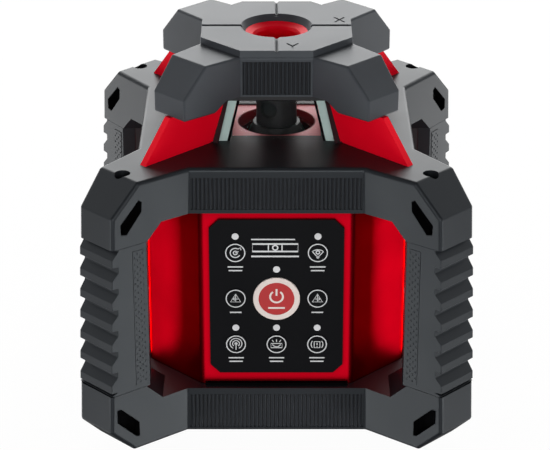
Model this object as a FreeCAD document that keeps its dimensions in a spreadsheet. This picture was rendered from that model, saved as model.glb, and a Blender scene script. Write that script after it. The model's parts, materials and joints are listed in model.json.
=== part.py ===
import FreeCAD, Part
import Sketcher
import math
import os
import re

# Rotating laser level. The origin is on the floor under the middle of the feet, +Z is up and the
# keypad faces -Y. Lengths are millimetres. The case is the same on all four sides.

DIMENSIONS = (
    # outer case: a star plan, a bar on each side and a chamfered corner between the bars
    ("foot_tall", 3.0, "height of a foot below the lower bumper"),
    ("deck_level", 153.0, "flat top of the case"),
    ("base_bar_half", 47.0, "half length of a side bar at the bottom"),
    ("base_bar_out", 74.0, "side bar's distance from the axis at the bottom"),
    ("base_near", 85.5, "nearer coordinate of a corner point at the bottom"),
    ("base_far", 103.2, "further coordinate of a corner point at the bottom"),
    ("deck_bar_half", 44.0, "half length of a side bar at deck level"),
    ("deck_bar_out", 71.3, "side bar's distance from the axis at deck level"),
    ("deck_near", 80.8, "nearer coordinate of a corner point at deck level"),
    ("deck_far", 98.4, "further coordinate of a corner point at deck level"),
    ("slope_deck", 111.5, "diagonal distance of the corner slope at deck level"),
    ("slope_base", 118.5, "diagonal distance of the corner slope at the bottom"),
    ("edge_round", 2.0, "rounding of the case's outer edges"),
    ("seam_low", 38.2, "seam between the lower bumper and a corner grip"),
    ("seam_high", 120.0, "seam between a corner grip and the upper bumper"),
    ("bar_low_top", 28.5, "top of the lower side bar"),
    ("bar_high_bottom", 128.5, "underside of the upper side bar"),
    ("opening_low_half", 59.4, "half width of the side opening at the lower bar"),
    ("opening_high_half", 58.1, "half width of the side opening at the upper bar"),
    ("opening_half", 66.0, "half width of the side opening at the grips"),
    ("flute_low_from", 5.3, "lower edge of the fluted band on the lower bar"),
    ("flute_low_to", 24.8, "upper edge of the fluted band on the lower bar"),
    ("flute_low_half", 46.1, "half length of the fluted band on the lower bar"),
    ("flute_high_from", 130.6, "lower edge of the fluted band on the upper bar"),
    ("flute_high_to", 147.9, "upper edge of the fluted band on the upper bar"),
    ("flute_high_half", 43.6, "half length of the fluted band on the upper bar"),
    ("flute_deep", 1.0, "depth of the band that the flutes stand in"),
    ("grip_back", 103.0, "diagonal distance of a corner grip's back face"),
    ("rib_pitch", 11.7, "distance between a corner grip's ribs"),
    ("rib_deep", 3.6, "depth of the valley between two ribs"),
    ("rib_first", 110.6, "lower edge of the highest rib's crest"),
    ("rib_valley", 3.4, "height of the valley's flat floor"),
    ("rib_slope", 4.0, "height of the slope from the valley out to the next crest"),
    ("slot_deep", 6.0, "depth of the slots in the slanted faces"),
    ("tie_place", 77.2, "x and y of a corner tie screw"),
    ("tie_shank", 2.5, "radius of a tie screw's shank"),
    ("tie_head", 4.0, "radius of a tie screw's head"),
    ("foot_place", 74.6, "x and y of a foot"),
    ("foot_wide", 10.5, "radius of a foot"),
    # red housing and what fits its walls
    ("house_flat", 68.0, "distance of the housing's flat sides from the axis"),
    ("house_half", 39.1, "half width of a flat side"),
    ("house_wall", 3.0, "thickness of the housing's wall"),
    ("house_fold", 4.5, "radius of the folds between the housing's sides"),
    ("house_low", 12.0, "bottom of the housing"),
    ("house_top", 148.5, "top of the housing, under the deck"),
    ("fit_gap", 0.3, "gap between the housing and the bumpers"),
    ("tray_low", 5.0, "underside of the base tray"),
    ("screw_place", 49.0, "x and y of a screw between the tray and the housing"),
    ("screw_shank", 1.5, "radius of a case screw's shank"),
    ("screw_head", 3.1, "radius of a case screw's head"),
    ("bush_wide", 12.0, "outer radius of a tripod bush"),
    ("thread_wall", 6.8, "radius of the 5/8 inch thread's wall"),
    ("thread_deep", 12.0, "depth of the tripod thread"),
    ("side_bush_level", 79.0, "height of the side tripod bush"),
    # keypad
    ("pad_half", 34.7, "half width of the keypad"),
    ("pad_low", 35.5, "lower edge of the keypad"),
    ("pad_high", 123.8, "upper edge of the keypad"),
    ("pad_chamfer", 5.0, "chamfer of the keypad's corners"),
    ("pad_thick", 1.2, "thickness of the keypad's overlay"),
    ("key_out", 69.7, "front face of a key"),
    ("key_back", 65.5, "back face of a key"),
    ("key_small", 5.3, "radius of a small key"),
    ("key_large", 9.9, "radius of the power key"),
    ("light_wide", 1.8, "radius of an indicator light"),
    # lantern and guard
    ("guard_bar_half", 18.5, "half length of a guard bar"),
    ("guard_bar_out", 39.7, "guard bar's distance from the axis"),
    ("guard_near", 46.3, "nearer coordinate of a guard block's corner point"),
    ("guard_far", 62.5, "further coordinate of a guard block's corner point"),
    ("guard_low", 174.3, "underside of a guard block"),
    ("guard_shoulder", 185.6, "where a guard block's slope starts"),
    ("block_top", 201.0, "top of a guard block"),
    ("guard_top", 204.3, "top of the guard's raised plate"),
    ("guard_bar_low", 179.5, "underside of a guard bar"),
    ("guard_flute_half", 17.5, "half length of the fluted band on a guard bar"),
    ("guard_flute_from", 180.5, "lower edge of the fluted band on a guard bar"),
    ("guard_flute_to", 198.5, "upper edge of the fluted band on a guard bar"),
    ("guard_flute_deep", 0.8, "depth of the fluted band on a guard bar"),
    ("mark_wide", 1.1, "width of the axis letters' strokes"),
    ("mark_deep", 0.5, "depth of the axis letters"),
    ("sight_half", 1.4, "half width of a sighting groove on the guard"),
    ("sight_deep", 1.3, "depth of a sighting groove on the guard"),
    ("arch_low_half", 33.0, "half width of the arch under a guard bar, at its bottom"),
    ("arch_high_half", 25.5, "half width of the arch under a guard bar, at its top"),
    ("guard_room", 34.0, "radius of the hollow inside the guard"),
    ("block_slope", 62.8, "diagonal distance of the slope at the block's top"),
    ("plate_diagonal", 41.0, "diagonal distance of the raised plate's corner"),
    ("hole_top", 18.8, "radius of the guard's hole at its rim"),
    ("hole_wide", 16.4, "radius of the guard's hole"),
    ("ring_bore", 11.6, "bore of the red ring in the guard's hole"),
    ("fin_thick", 3.8, "thickness of a red fin"),
    ("fin_base", 95.6, "diagonal reach of a fin on the deck"),
    ("fin_top", 78.0, "diagonal reach of a fin under the guard"),
    ("fin_base_near", 50.0, "diagonal distance of a fin's inner edge on the deck"),
    ("fin_top_near", 37.0, "diagonal distance of a fin's inner edge under the guard"),
    ("tongue_near", 50.0, "diagonal distance of the inner edge of a fin's tongue"),
    ("tongue_far", 68.0, "diagonal distance of the outer edge of a fin's tongue"),
    ("tongue_tall", 9.0, "how far a fin's tongue stands in the guard"),
    ("column_deep", 4.0, "depth of the lantern's columns outside the windows"),
    ("pane_low_half", 30.5, "half width of a window at its bottom"),
    ("pane_high_half", 25.5, "half width of a window at its top"),
    ("pane_low_out", 34.0, "window's distance from the axis at its bottom"),
    ("pane_high_out", 27.0, "window's distance from the axis at its top"),
    ("pane_low", 153.0, "bottom of a window"),
    ("pane_high", 173.0, "top of a window"),
    ("pane_thick", 2.4, "thickness of a window"),
    ("well_hole", 20.8, "radius of the hole that the rotor stands in"),
    ("well_top", 150.6, "top of the plate round the rotor"),
    # levelling mechanism and rotor
    ("pivot_level", 118.0, "height of both tilting axes"),
    ("pin_wide", 3.0, "radius of a tilting pin"),
    ("running_gap", 0.05, "radial clearance of a running fit"),
    ("ring_outer", 36.0, "outer radius of the gimbal ring"),
    ("ring_inner", 31.0, "inner radius of the gimbal ring"),
    ("post_near", 44.0, "inner face of a trunnion post"),
    ("post_far", 50.0, "outer face of a trunnion post"),
    ("lever_x", 43.0, "lever arm of the screw that tilts about X"),
    ("lever_y", 30.0, "lever arm of the screw that tilts about Y"),
    ("screw_wide", 1.5, "radius of a levelling screw"),
    ("pulley_place", 18.0, "distance from the rotor's axis to its motor's axis"),
    ("pulley_large", 9.0, "radius of the rotor's pulley"),
    ("pulley_small", 4.5, "radius of the motor's pulley"),
    ("belt_thick", 1.2, "thickness of the belt"),
    ("belt_level", 128.0, "underside of the belt"),
    ("belt_tall", 3.0, "height of the belt"),
    ("belt_room", 0.3, "room between the belt and its pulleys"),
    ("hub_wide", 6.0, "radius of the rotor's hub in its bearings"),
    ("hub_bore", 4.0, "radius of the beam's way through the hub"),
    ("bearing_wide", 10.0, "outer radius of a bearing"),
    ("bearing_tall", 4.0, "height of a bearing"),
    ("laser_wide", 7.0, "radius of the laser module"),
    ("carriage_wide", 10.0, "radius of the tube that holds the laser module"),
    ("head_wide", 10.8, "radius of the rotor's head"),
    ("head_top", 170.0, "top of the rotor's head"),
    ("beam_level", 160.5, "height of the laser beam"),
    ("beam_turn", 25.0, "how far the head is turned from the front, in degrees"),
    # battery
    ("pack_half", 31.5, "half width of the battery pack"),
    ("pack_low", 32.4, "bottom of the battery pack"),
    ("pack_high", 55.6, "top of the battery pack"),
    ("pack_front", 19.0, "inner end of the battery pack"),
    ("cover_in", 68.3, "inner face of the battery cover"),
    ("cover_out", 72.3, "outer face of the battery cover"),
)
ALIASES = {alias for alias, value, meaning in DIMENSIONS}
WORD = re.compile(r"[a-z][a-z_]*")

doc = FreeCAD.newDocument("RotatingLaserLevel")
sheet = doc.addObject("Spreadsheet::Sheet", "Dims")
for row, (alias, value, meaning) in enumerate(DIMENSIONS, start=1):
    sheet.set(f"A{row}", str(value))
    sheet.setAlias(f"A{row}", alias)
    sheet.set(f"B{row}", meaning)
doc.recompute()

nodes = []


# ---- helpers: formulas, sketches, bodies, primitives and booleans --------------------------------

def formula(text):
    """A formula over the sheet's words, as the document binds it."""
    return WORD.sub(lambda word: "Dims." + word[0] if word[0] in ALIASES else word[0], str(text))


def size(text):
    """The present value of a formula."""
    return float(sheet.evalExpression(formula(text)))


def bind(thing, **properties):
    """Bind properties to formulas; a double underscore stands for a dot in the property's path."""
    for path, text in properties.items():
        thing.setExpression(path.replace("__", "."), formula(text))


def place(thing, x=0, y=0, z=0, turn=None):
    """Bind where a thing stands; turn is (axis, degrees)."""
    if turn:
        thing.Placement = FreeCAD.Placement(FreeCAD.Vector(), FreeCAD.Rotation(*turn))
    bind(thing, Placement__Base__x=x, Placement__Base__y=y, Placement__Base__z=z)
    return thing


def node(thing, label):
    """Name a finished sub-part."""
    thing.Label = label
    nodes.append(thing)
    return thing


def outline(body, role, corners, level=0):
    """A closed sketch on one of the body's own planes; each corner is a pair of formulas."""
    sketch = body.newObject("Sketcher::SketchObject", "Outline")
    plane = [part for part in body.Origin.OriginFeatures if part.Role == role]
    sketch.AttachmentSupport = [(plane[0], "")]
    sketch.MapMode = "FlatFace"
    bind(sketch, AttachmentOffset__Base__z=level)
    spots = [FreeCAD.Vector(size(x), size(y), 0) for x, y in corners]
    count = len(spots)
    for index in range(count):
        sketch.addGeometry(Part.LineSegment(spots[index], spots[(index + 1) % count]), False)
    for index in range(count):
        sketch.addConstraint(Sketcher.Constraint("Coincident", index, 2, (index + 1) % count, 1))
    for index, (x, y) in enumerate(corners):
        for kind, text, value in (("DistanceX", x, spots[index].x), ("DistanceY", y, spots[index].y)):
            number = sketch.addConstraint(Sketcher.Constraint(kind, -1, 1, index, 1, value))
            sketch.setExpression(f"Constraints[{number}]", formula(text))
    return sketch


def prism(name, corners, low, length, role="XY_Plane"):
    """A body padded from an outline; low and length run along the plane's normal."""
    body = doc.addObject("PartDesign::Body", name)
    sketch = outline(body, role, corners, low)
    pad = body.newObject("PartDesign::Pad", "Pad")
    pad.Profile = sketch
    bind(pad, Length=length)
    return body


def slab(name, corners, thick, role="XZ_Plane"):
    """A body padded evenly to both sides of a plane through the axis."""
    return prism(name, corners, f"-({thick}) / 2", thick, role)


def turned(name, profile):
    """A body turned about the Z axis from (radius, height) pairs."""
    body = doc.addObject("PartDesign::Body", name)
    sketch = outline(body, "XZ_Plane", profile)
    revolution = body.newObject("PartDesign::Revolution", "Revolution")
    revolution.Profile = sketch
    revolution.ReferenceAxis = (sketch, ["V_Axis"])
    revolution.Angle = 360
    return body


def tapered(name, low_corners, low, high_corners, high):
    """A body with straight sides between two level outlines."""
    body = doc.addObject("PartDesign::Body", name)
    first = outline(body, "XY_Plane", low_corners, low)
    second = outline(body, "XY_Plane", high_corners, high)
    loft = body.newObject("PartDesign::AdditiveLoft", "Loft")
    loft.Profile = first
    loft.Sections = [second]
    loft.Ruled = True
    return body


def box(name, x, y, z):
    """A box; x, y and z are (from, to) pairs of formulas."""
    made = doc.addObject("Part::Box", name)
    bind(made, Length=f"({x[1]}) - ({x[0]})", Width=f"({y[1]}) - ({y[0]})",
         Height=f"({z[1]}) - ({z[0]})")
    return place(made, x[0], y[0], z[0])


TURNS = {
    "x": (FreeCAD.Vector(0, 1, 0), 90),
    "y": (FreeCAD.Vector(1, 0, 0), -90),
    "z": None,
}


def cylinder(name, radius, length):
    made = doc.addObject("Part::Cylinder", name)
    bind(made, Radius=radius, Height=length)
    return made


def rod(name, radius, length, x=0, y=0, z=0, axis="z"):
    """A cylinder that starts at x, y, z and runs along +axis."""
    return place(cylinder(name, radius, length), x, y, z, TURNS[axis])


def join(name, pieces):
    made = doc.addObject("Part::MultiFuse", name)
    made.Shapes = list(pieces)
    return made


def overlap(name, pieces):
    made = doc.addObject("Part::MultiCommon", name)
    made.Shapes = list(pieces)
    return made


def group(name, pieces):
    made = doc.addObject("Part::Compound", name)
    made.Links = list(pieces)
    return made


def carve(name, stock, tools):
    """The stock with every tool cut out of it."""
    made = doc.addObject("Part::Cut", name)
    made.Base = stock
    made.Tool = tools[0] if len(tools) == 1 else join(name + "Tools", tools)
    return made


def solid(name, shape):
    """A shape worked out with Part's functions, for outlines that neither way above can make."""
    made = doc.addObject("Part::Feature", name)
    made.Shape = shape
    return made


def round_edges(name, stock, radius):
    """Round every edge of the stock."""
    doc.recompute()
    made = doc.addObject("Part::Fillet", name)
    made.Base = stock
    reach = size(radius)
    made.Edges = [(index + 1, reach, reach) for index in range(len(stock.Shape.Edges))]
    return made


def round_uprights(name, stock, radius):
    """Round the stock's vertical edges."""
    doc.recompute()
    made = doc.addObject("Part::Fillet", name)
    made.Base = stock
    reach = size(radius)
    made.Edges = [(index + 1, reach, reach) for index, edge in enumerate(stock.Shape.Edges)
                  if math.hypot(edge.tangentAt(edge.FirstParameter).x,
                                edge.tangentAt(edge.FirstParameter).y) < 0.01]
    return made


def turned_by(degrees):
    """A placement that turns a thing about the Z axis."""
    return FreeCAD.Placement(FreeCAD.Vector(), FreeCAD.Rotation(FreeCAD.Vector(0, 0, 1), degrees))


def at_corners(place_name):
    """The four (x, y) formula pairs at plus and minus one distance."""
    return [(f"{sx} * {place_name}", f"{sy} * {place_name}") for sx in (-1, 1) for sy in (-1, 1)]


def star(half, out, near, far):
    """The case's plan: a bar on each side, and slanted faces out to a chamfered corner."""
    quarter = ((half, out), (near, far), (far, near), (out, half))
    corners = [(x, y) for x, y in quarter]
    corners += [(y, f"-({x})") for x, y in quarter]
    corners += [(f"-({x})", f"-({y})") for x, y in quarter]
    corners += [(f"-({y})", x) for x, y in quarter]
    return corners


def octagon(half, out):
    """Eight corners: flat sides at one distance, and slanted sides between them."""
    quarter = ((half, out), (out, half))
    corners = [(x, y) for x, y in quarter]
    corners += [(y, f"-({x})") for x, y in quarter]
    corners += [(f"-({x})", f"-({y})") for x, y in quarter]
    corners += [(f"-({y})", x) for x, y in quarter]
    return corners


def both_ways(name, corners, thick):
    """The same slab along Y and along X."""
    along_y = slab(name + "AlongY", corners, thick)
    along_x = slab(name + "AlongX", corners, thick)
    along_x.Placement = turned_by(90)
    return [along_y, along_x]


def diagonal_slabs(name, corners, thick):
    """The same slab turned to face each diagonal."""
    made = []
    for number, angle in enumerate((45, 135)):
        piece = slab(f"{name}{number}", corners, thick)
        piece.Placement = turned_by(angle)
        made.append(piece)
    return made


def mirrored_profile(half):
    """A symmetrical outline from its right half, listed from the bottom up."""
    return list(half) + [(f"-({x})", z) for x, z in reversed(half)]


# ---- the case's outer shape, which the bumpers and the corner grips are cut from -----------------

WIDE = 300.0

star_body = tapered(
    "StarBody",
    star("base_bar_half", "base_bar_out", "base_near", "base_far"), "foot_tall",
    star("deck_bar_half", "deck_bar_out", "deck_near", "deck_far"), "deck_level")
slope_profile = mirrored_profile([
    ("slope_base", "foot_tall"),
    ("slope_base + 30", "foot_tall + 30"),
    ("slope_deck + 30", "deck_level - 30"),
    ("slope_deck", "deck_level"),
])
sharp_case = overlap("SharpCase", [star_body] + diagonal_slabs("CornerSlope", slope_profile, WIDE))
outer_case = round_edges("OuterCase", sharp_case, "edge_round")

housing_space = round_uprights("HousingSpace", prism(
    "HousingSpaceBlock", octagon("house_half + fit_gap", "house_flat + fit_gap"),
    "-1", "house_top + 1"), "house_fold")
tie_holes = group("TieHoles", [
    rod("TieHole", "tie_shank", WIDE, x, y, -1) for x, y in at_corners("tie_place")])
lower_opening = both_ways("LowerOpening", [
    ("-opening_low_half", "bar_low_top"), ("opening_low_half", "bar_low_top"),
    ("opening_half + 1.3", "seam_low"), ("-opening_half - 1.3", "seam_low")], WIDE)
upper_opening = both_ways("UpperOpening", [
    ("-opening_half + 1", "seam_high"), ("opening_half - 1", "seam_high"),
    ("opening_high_half", "bar_high_bottom"), ("-opening_high_half", "bar_high_bottom")], WIDE)

# each slot's middle (x, z) on a slanted face, and its corners from there
UPPER_SLOT_PLACE, LOWER_SLOT_PLACE = (72.4, 135.1), (76.0, 20.5)
UPPER_SLOT = ((-3.8, 8.6), (-5.4, 7.2), (-5.1, 1.9), (2.2, -8.5), (5.0, -7.8), (5.2, -2.3))
LOWER_SLOT = ((5.0, 9.1), (3.1, 9.0), (-5.1, -1.1), (-5.1, -9.5), (-3.4, -9.0), (5.1, 1.6))


def slot_tools(hexagon, centre_x, centre_z):
    """Prisms for the slots in the eight slanted faces: long hexagons, square to the face."""
    slant = math.atan2(size("deck_far - deck_bar_out"), size("deck_near - deck_bar_half"))
    corners = [FreeCAD.Vector(x / math.cos(slant), 0, z) for x, z in hexagon]
    drop = (size("deck_level") - centre_z) / size("deck_level - foot_tall")
    reach = (size("deck_bar_out") + (centre_x - size("deck_bar_half")) * math.tan(slant)
             + size("base_bar_out - deck_bar_out") * drop)
    tool = Part.Face(Part.makePolygon(corners + corners[:1])).extrude(FreeCAD.Vector(0, 20, 0))
    tool.rotate(FreeCAD.Vector(), FreeCAD.Vector(0, 0, 1), math.degrees(slant))
    inward = FreeCAD.Vector(math.sin(slant), -math.cos(slant), 0) * size("slot_deep")
    tool.translate(FreeCAD.Vector(centre_x, reach, centre_z) + inward)
    tools = []
    for quarter in range(4):
        for other in (tool, tool.mirror(FreeCAD.Vector(), FreeCAD.Vector(1, 0, 0))):
            copy = other.copy()
            copy.rotate(FreeCAD.Vector(), FreeCAD.Vector(0, 0, 1), 90 * quarter)
            tools.append(copy)
    return Part.makeCompound(tools)


def flute_bands(low, high, half):
    """The shallow bands that the flutes of the four side bars stand in."""
    lean = size("base_bar_out - deck_bar_out") / size("deck_level - foot_tall")
    middle = (low + high) / 2
    face = size("base_bar_out") - (middle - size("foot_tall")) * lean
    slab_shape = Part.makeBox(2 * half, 20, high - low, FreeCAD.Vector(-half, 0, -(high - low) / 2))
    slab_shape.rotate(FreeCAD.Vector(), FreeCAD.Vector(1, 0, 0), math.degrees(math.atan(lean)))
    slab_shape.translate(FreeCAD.Vector(0, face - size("flute_deep"), middle))
    tools = []
    for quarter in range(4):
        copy = slab_shape.copy()
        copy.rotate(FreeCAD.Vector(), FreeCAD.Vector(0, 0, 1), 90 * quarter)
        tools.append(copy)
    return Part.makeCompound(tools)


lower_slots = solid("LowerSlots", slot_tools(LOWER_SLOT, *LOWER_SLOT_PLACE))
upper_slots = solid("UpperSlots", slot_tools(UPPER_SLOT, *UPPER_SLOT_PLACE))
lower_bands = solid("LowerBands", flute_bands(
    size("flute_low_from"), size("flute_low_to"), size("flute_low_half")))
upper_bands = solid("UpperBands", flute_bands(
    size("flute_high_from"), size("flute_high_to"), size("flute_high_half")))

# ---- bumpers, deck and corner grips --------------------------------------------------------------

lower_zone = box("LowerZone", (-150, 150), (-150, 150), (0, "seam_low"))
lower_blank = overlap("LowerBlank", [outer_case, lower_zone])
foot_seats = group("FootSeats", [
    rod("FootSeat", "foot_wide", "foot_tall + 3", x, y) for x, y in at_corners("foot_place")])
node(carve("LowerBumper", lower_blank, [
    housing_space, tie_holes, foot_seats, lower_slots, lower_bands] + lower_opening), "lower_bumper")

upper_zone = box("UpperZone", (-150, 150), (-150, 150), ("seam_high", "deck_level + 1"))
upper_blank = overlap("UpperBlank", [outer_case, upper_zone])
head_pockets = group("HeadPockets", [
    rod("HeadPocket", "tie_head", 30, x, y, "deck_level - 8") for x, y in at_corners("tie_place")])
lantern_hole = box("LanternHole", (-33, 33), (-33, 33), ("deck_level - 10", "deck_level + 1"))
node(carve("UpperBumper", upper_blank, [
    housing_space, tie_holes, head_pockets, lantern_hole, upper_slots, upper_bands] + upper_opening),
    "upper_bumper")

grip_zone_profile = [("opening_half - 0.6", "opening_half - 0.6"), (150, "opening_half - 0.6"),
                     (150, 150), ("opening_half - 0.6", 150)]
behind_grip = mirrored_profile([("grip_back", "0"), ("grip_back", "200")])
RIBS = 7


def rib_valleys(angle):
    """The valleys between a corner grip's ribs, as one tool across the face at an angle about Z.

    Going down, the face steps in under a crest, runs down the valley and slopes out to the next crest.
    """
    lean = (size("base_near + base_far") - size("deck_near + deck_far")) / math.sqrt(2)
    lean /= size("deck_level - foot_tall")
    half_wide, beyond = 40.0, 5.0
    tools = []
    for index in range(-1, RIBS):
        crest = size("rib_first") - index * size("rib_pitch")
        face = size("base_near + base_far") / math.sqrt(2) - (crest - size("foot_tall")) * lean
        floor = face - size("rib_deep")
        valley = crest - size("rib_valley")
        slope = valley - size("rib_slope")
        run = beyond * size("rib_slope / rib_deep")
        corners = [FreeCAD.Vector(reach, -half_wide, level) for reach, level in (
            (face + beyond, crest), (floor, crest), (floor, valley), (face, slope),
            (face + beyond, slope - run))]
        section = Part.Face(Part.makePolygon(corners + corners[:1]))
        tools.append(section.extrude(FreeCAD.Vector(0, 2 * half_wide, 0)))
    valleys = Part.makeCompound(tools)
    valleys.rotate(FreeCAD.Vector(), FreeCAD.Vector(0, 0, 1), angle)
    return valleys


for name, quarter in (("rear_right", 0), ("rear_left", 1), ("front_left", 2), ("front_right", 3)):
    zone = prism("GripZone", grip_zone_profile, "seam_low", "seam_high - seam_low")
    zone.Placement = turned_by(90 * quarter)
    back = diagonal_slabs("GripBack", behind_grip, WIDE)[quarter % 2]
    valleys = solid("RibValleys", rib_valleys(45 + 90 * quarter))
    blank = overlap("GripBlank", [outer_case, zone])
    node(carve("Grip", blank, [back, tie_holes, valleys]), f"corner_grip_{name}")

node(group("TieScrews", [
    join("TieScrew", [
        rod("TieShank", "tie_shank", "deck_level - 18", x, y, 10),
        rod("TieTop", "tie_head - 0.1", 3.5, x, y, "deck_level - 8")])
    for x, y in at_corners("tie_place")]), "corner_tie_screws")
node(group("Feet", [
    rod("Foot", "foot_wide", "foot_tall + 3", x, y) for x, y in at_corners("foot_place")]), "feet")

# ---- housing, base tray, tripod bushes -----------------------------------------------------------

KEYS = (
    ("power", 0, 79.1, "key_large"),
    ("speed", -21.2, 105.4, "key_small"),
    ("scan", 21.2, 105.4, "key_small"),
    ("left", -21.2, 79.2, "key_small"),
    ("right", 21.2, 79.2, "key_small"),
    ("remote", -21.2, 52.5, "key_small"),
    ("mode", 0, 52.5, "key_small"),
    ("shock", 21.2, 52.5, "key_small"),
)
LIGHTS = ((-21.2, 114.5), (21.2, 114.5), (0, 95.8), (-21.2, 62.1), (0, 62.1), (21.2, 62.1))

house_block = round_uprights("HouseBlock", prism(
    "HouseSides", octagon("house_half", "house_flat"), "house_low", "house_top - house_low"),
    "house_fold")
house_room = prism("HouseRoom", octagon("house_half - 1.2", "house_flat - house_wall"),
                   "house_low - 1", "house_top - house_low + 2")
side_bush_hole = rod("SideBushHole", "bush_wide", 20, "-house_flat - 5", 0, "side_bush_level", "x")
house_bosses = [rod("HouseBoss", 4.2, 14, x, y, "house_low") for x, y in at_corners("screw_place")]
screw_bores = [rod("ScrewBore", "screw_shank + running_gap", 8, x, y, "house_low - 1")
               for x, y in at_corners("screw_place")]
house_shell = carve("HouseShell", house_block, [house_room])
node(carve("Housing", join("HouseWithBosses", [house_shell] + house_bosses), screw_bores + [
    side_bush_hole,
    box("KeypadWindow", (-28, 28), (-70, -60), (46, 119)),
    box("BatteryWindow", (-32, 32), (60, 70), (32, 56)),
    rod("ThumbScrewHole", "2.35", 12, 0, 60, 63, "y"),
    box("SocketWindow", (60, 70), (-5, 5), (36, 46)),
]), "main_housing")

tray_plate = round_uprights("TrayPlate", prism(
    "TraySides", octagon("house_half", "house_flat"), "tray_low", "house_low - tray_low"),
    "house_fold")
tray_boss = rod("TrayBoss", "bush_wide + 4", 12, 0, 0, "tray_low")
tray_ribs = [box("TrayRib", (-60, 60), (y - 1, y + 1), ("house_low", "house_low + 4"))
             for y in (-40, 40)]
board_bosses = [rod("BoardBoss", 3, 14, x, y, "house_low") for x in (-31, 31) for y in (-46, 2)]
tray_screw_holes = [rod("TrayScrewHole", "screw_shank + 0.3", 20, x, y, 0)
                    for x, y in at_corners("screw_place")]
tray_head_seats = [rod("TrayHeadSeat", "screw_head + 0.3", "tray_low + 2", x, y, 0)
                   for x, y in at_corners("screw_place")]
tray_recess = prism("TrayRecess", octagon("house_half - 6", "house_flat - 8"), 0, "tray_low + 1.5")
tray_frame = rod("TrayFrame", "bush_wide + 8", 3, 0, 0, "tray_low")
node(carve("BaseTray", join("TrayBlank", [
    carve("TrayShell", tray_plate, [tray_recess]), tray_boss, tray_frame] + tray_ribs + board_bosses),
    [rod("BushSeat", "bush_wide", 30, 0, 0, 0)] + tray_screw_holes + tray_head_seats), "base_tray")
node(carve("BottomBush", rod("BottomBushBlank", "bush_wide", 15, 0, 0, 4), [
    rod("BottomThread", "thread_wall", "thread_deep", 0, 0, 4)]), "bottom_tripod_bush")
node(carve("SideBush", rod("SideBushBlank", "bush_wide", 15, "-house_flat - 1", 0,
                           "side_bush_level", "x"), [
    rod("SideThread", "thread_wall", "thread_deep", "-house_flat - 1", 0, "side_bush_level", "x")]),
    "side_tripod_bush")
node(group("CaseScrews", [
    join("CaseScrew", [
        rod("ScrewShank", "screw_shank", "house_low + 1", x, y, "tray_low + 1"),
        rod("ScrewHead", "screw_head", 1.7, x, y, "tray_low + 0.3")])
    for x, y in at_corners("screw_place")]), "case_screws")

# ---- keypad --------------------------------------------------------------------------------------

pad_outline = [
    ("pad_half - pad_chamfer", "pad_low"), ("pad_half", "pad_low + pad_chamfer"),
    ("pad_half", "pad_high - pad_chamfer"), ("pad_half - pad_chamfer", "pad_high"),
    ("-pad_half + pad_chamfer", "pad_high"), ("-pad_half", "pad_high - pad_chamfer"),
    ("-pad_half", "pad_low + pad_chamfer"), ("-pad_half + pad_chamfer", "pad_low")]
pad_blank = prism("PadBlank", pad_outline, "house_flat", "pad_thick", "XZ_Plane")
key_holes = [rod("KeyHole", f"{radius} + fit_gap", 12, x, -75, z, "y") for name, x, z, radius in KEYS]
light_holes = [rod("LightHole", "light_wide + running_gap", 12, x, -75, z, "y") for x, z in LIGHTS]
node(carve("KeypadOverlay", pad_blank, key_holes + light_holes), "keypad_overlay")
for name, x, z, radius in KEYS:
    node(rod("Key", radius, "key_out - key_back", x, "-key_out", z, "y"), f"key_{name}")
node(group("Lights", [
    rod("Light", "light_wide", 5.9, x, "-house_flat - pad_thick - 0.2", z, "y")
    for x, z in LIGHTS]), "indicator_lights")
node(join("KeypadBoard", [
    box("KeypadPlate", (-31, 31), ("2 - key_back", "3.6 - key_back"), (44, 121))] + [
    rod("Dome", 4, 1.2, x, "1 - key_back", z, "y") for name, x, z, radius in KEYS]), "keypad_board")

# ---- lantern, guard ------------------------------------------------------------------------------

fin_profile = [("fin_base_near", "deck_level"), ("fin_base", "deck_level"), ("fin_top", "guard_low"),
               ("tongue_far", "guard_low"), ("tongue_far", "guard_low + tongue_tall"),
               ("tongue_near", "guard_low + tongue_tall"), ("tongue_near", "guard_low"),
               ("fin_top_near", "guard_low")]
fins = []
for quarter in range(4):
    fin = slab("Fin", fin_profile, "fin_thick")
    fin.Placement = turned_by(45 + 90 * quarter)
    fins.append(fin)
columns = carve("Columns", tapered(
    "LanternBlock", octagon("pane_low_half", "pane_low_out + column_deep"), "pane_low",
    octagon("pane_high_half", "pane_high_out + column_deep"), "pane_high"), [tapered(
        "LanternRoom", octagon("pane_low_half - 3", "pane_low_out - 1"), "pane_low",
        octagon("pane_high_half - 3", "pane_high_out - 1"), "pane_high")] + both_ways(
            "PaneWay", [("-pane_low_half", "pane_low"), ("pane_low_half", "pane_low"),
                        ("pane_high_half", "pane_high"), ("-pane_high_half", "pane_high")], WIDE))
roof = carve("Roof", prism("RoofPlate", octagon("pane_high_half", "pane_high_out + 1"), "pane_high",
                           "guard_low + 2 - pane_high"), [
    rod("RoofHole", "ring_bore", 20, 0, 0, "pane_high - 5")])
node(join("Cage", fins + [columns, roof]), "lantern_cage")

pane_slant = math.degrees(math.atan2(size("pane_low_out - pane_high_out"),
                                     size("pane_high - pane_low")))
pane_tall = "(pane_high - pane_low) * 1.04"
pane_profile = [("-pane_low_half + 0.6", 0.4), ("pane_low_half - 0.6", 0.4),
                ("pane_high_half - 0.6", pane_tall), ("-pane_high_half + 0.6", pane_tall)]
for name, quarter in (("front", 0), ("right", 1), ("rear", 2), ("left", 3)):
    pane = prism("Pane", pane_profile, "-pane_thick", "pane_thick", "XZ_Plane")
    spin = FreeCAD.Rotation(FreeCAD.Vector(0, 0, 1), 90 * quarter)
    lean = FreeCAD.Rotation(FreeCAD.Vector(1, 0, 0), -pane_slant)
    foot = spin.multVec(FreeCAD.Vector(0, -size("pane_low_out"), size("pane_low")))
    pane.Placement = FreeCAD.Placement(foot, spin.multiply(lean))
    node(pane, f"window_{name}")

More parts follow.
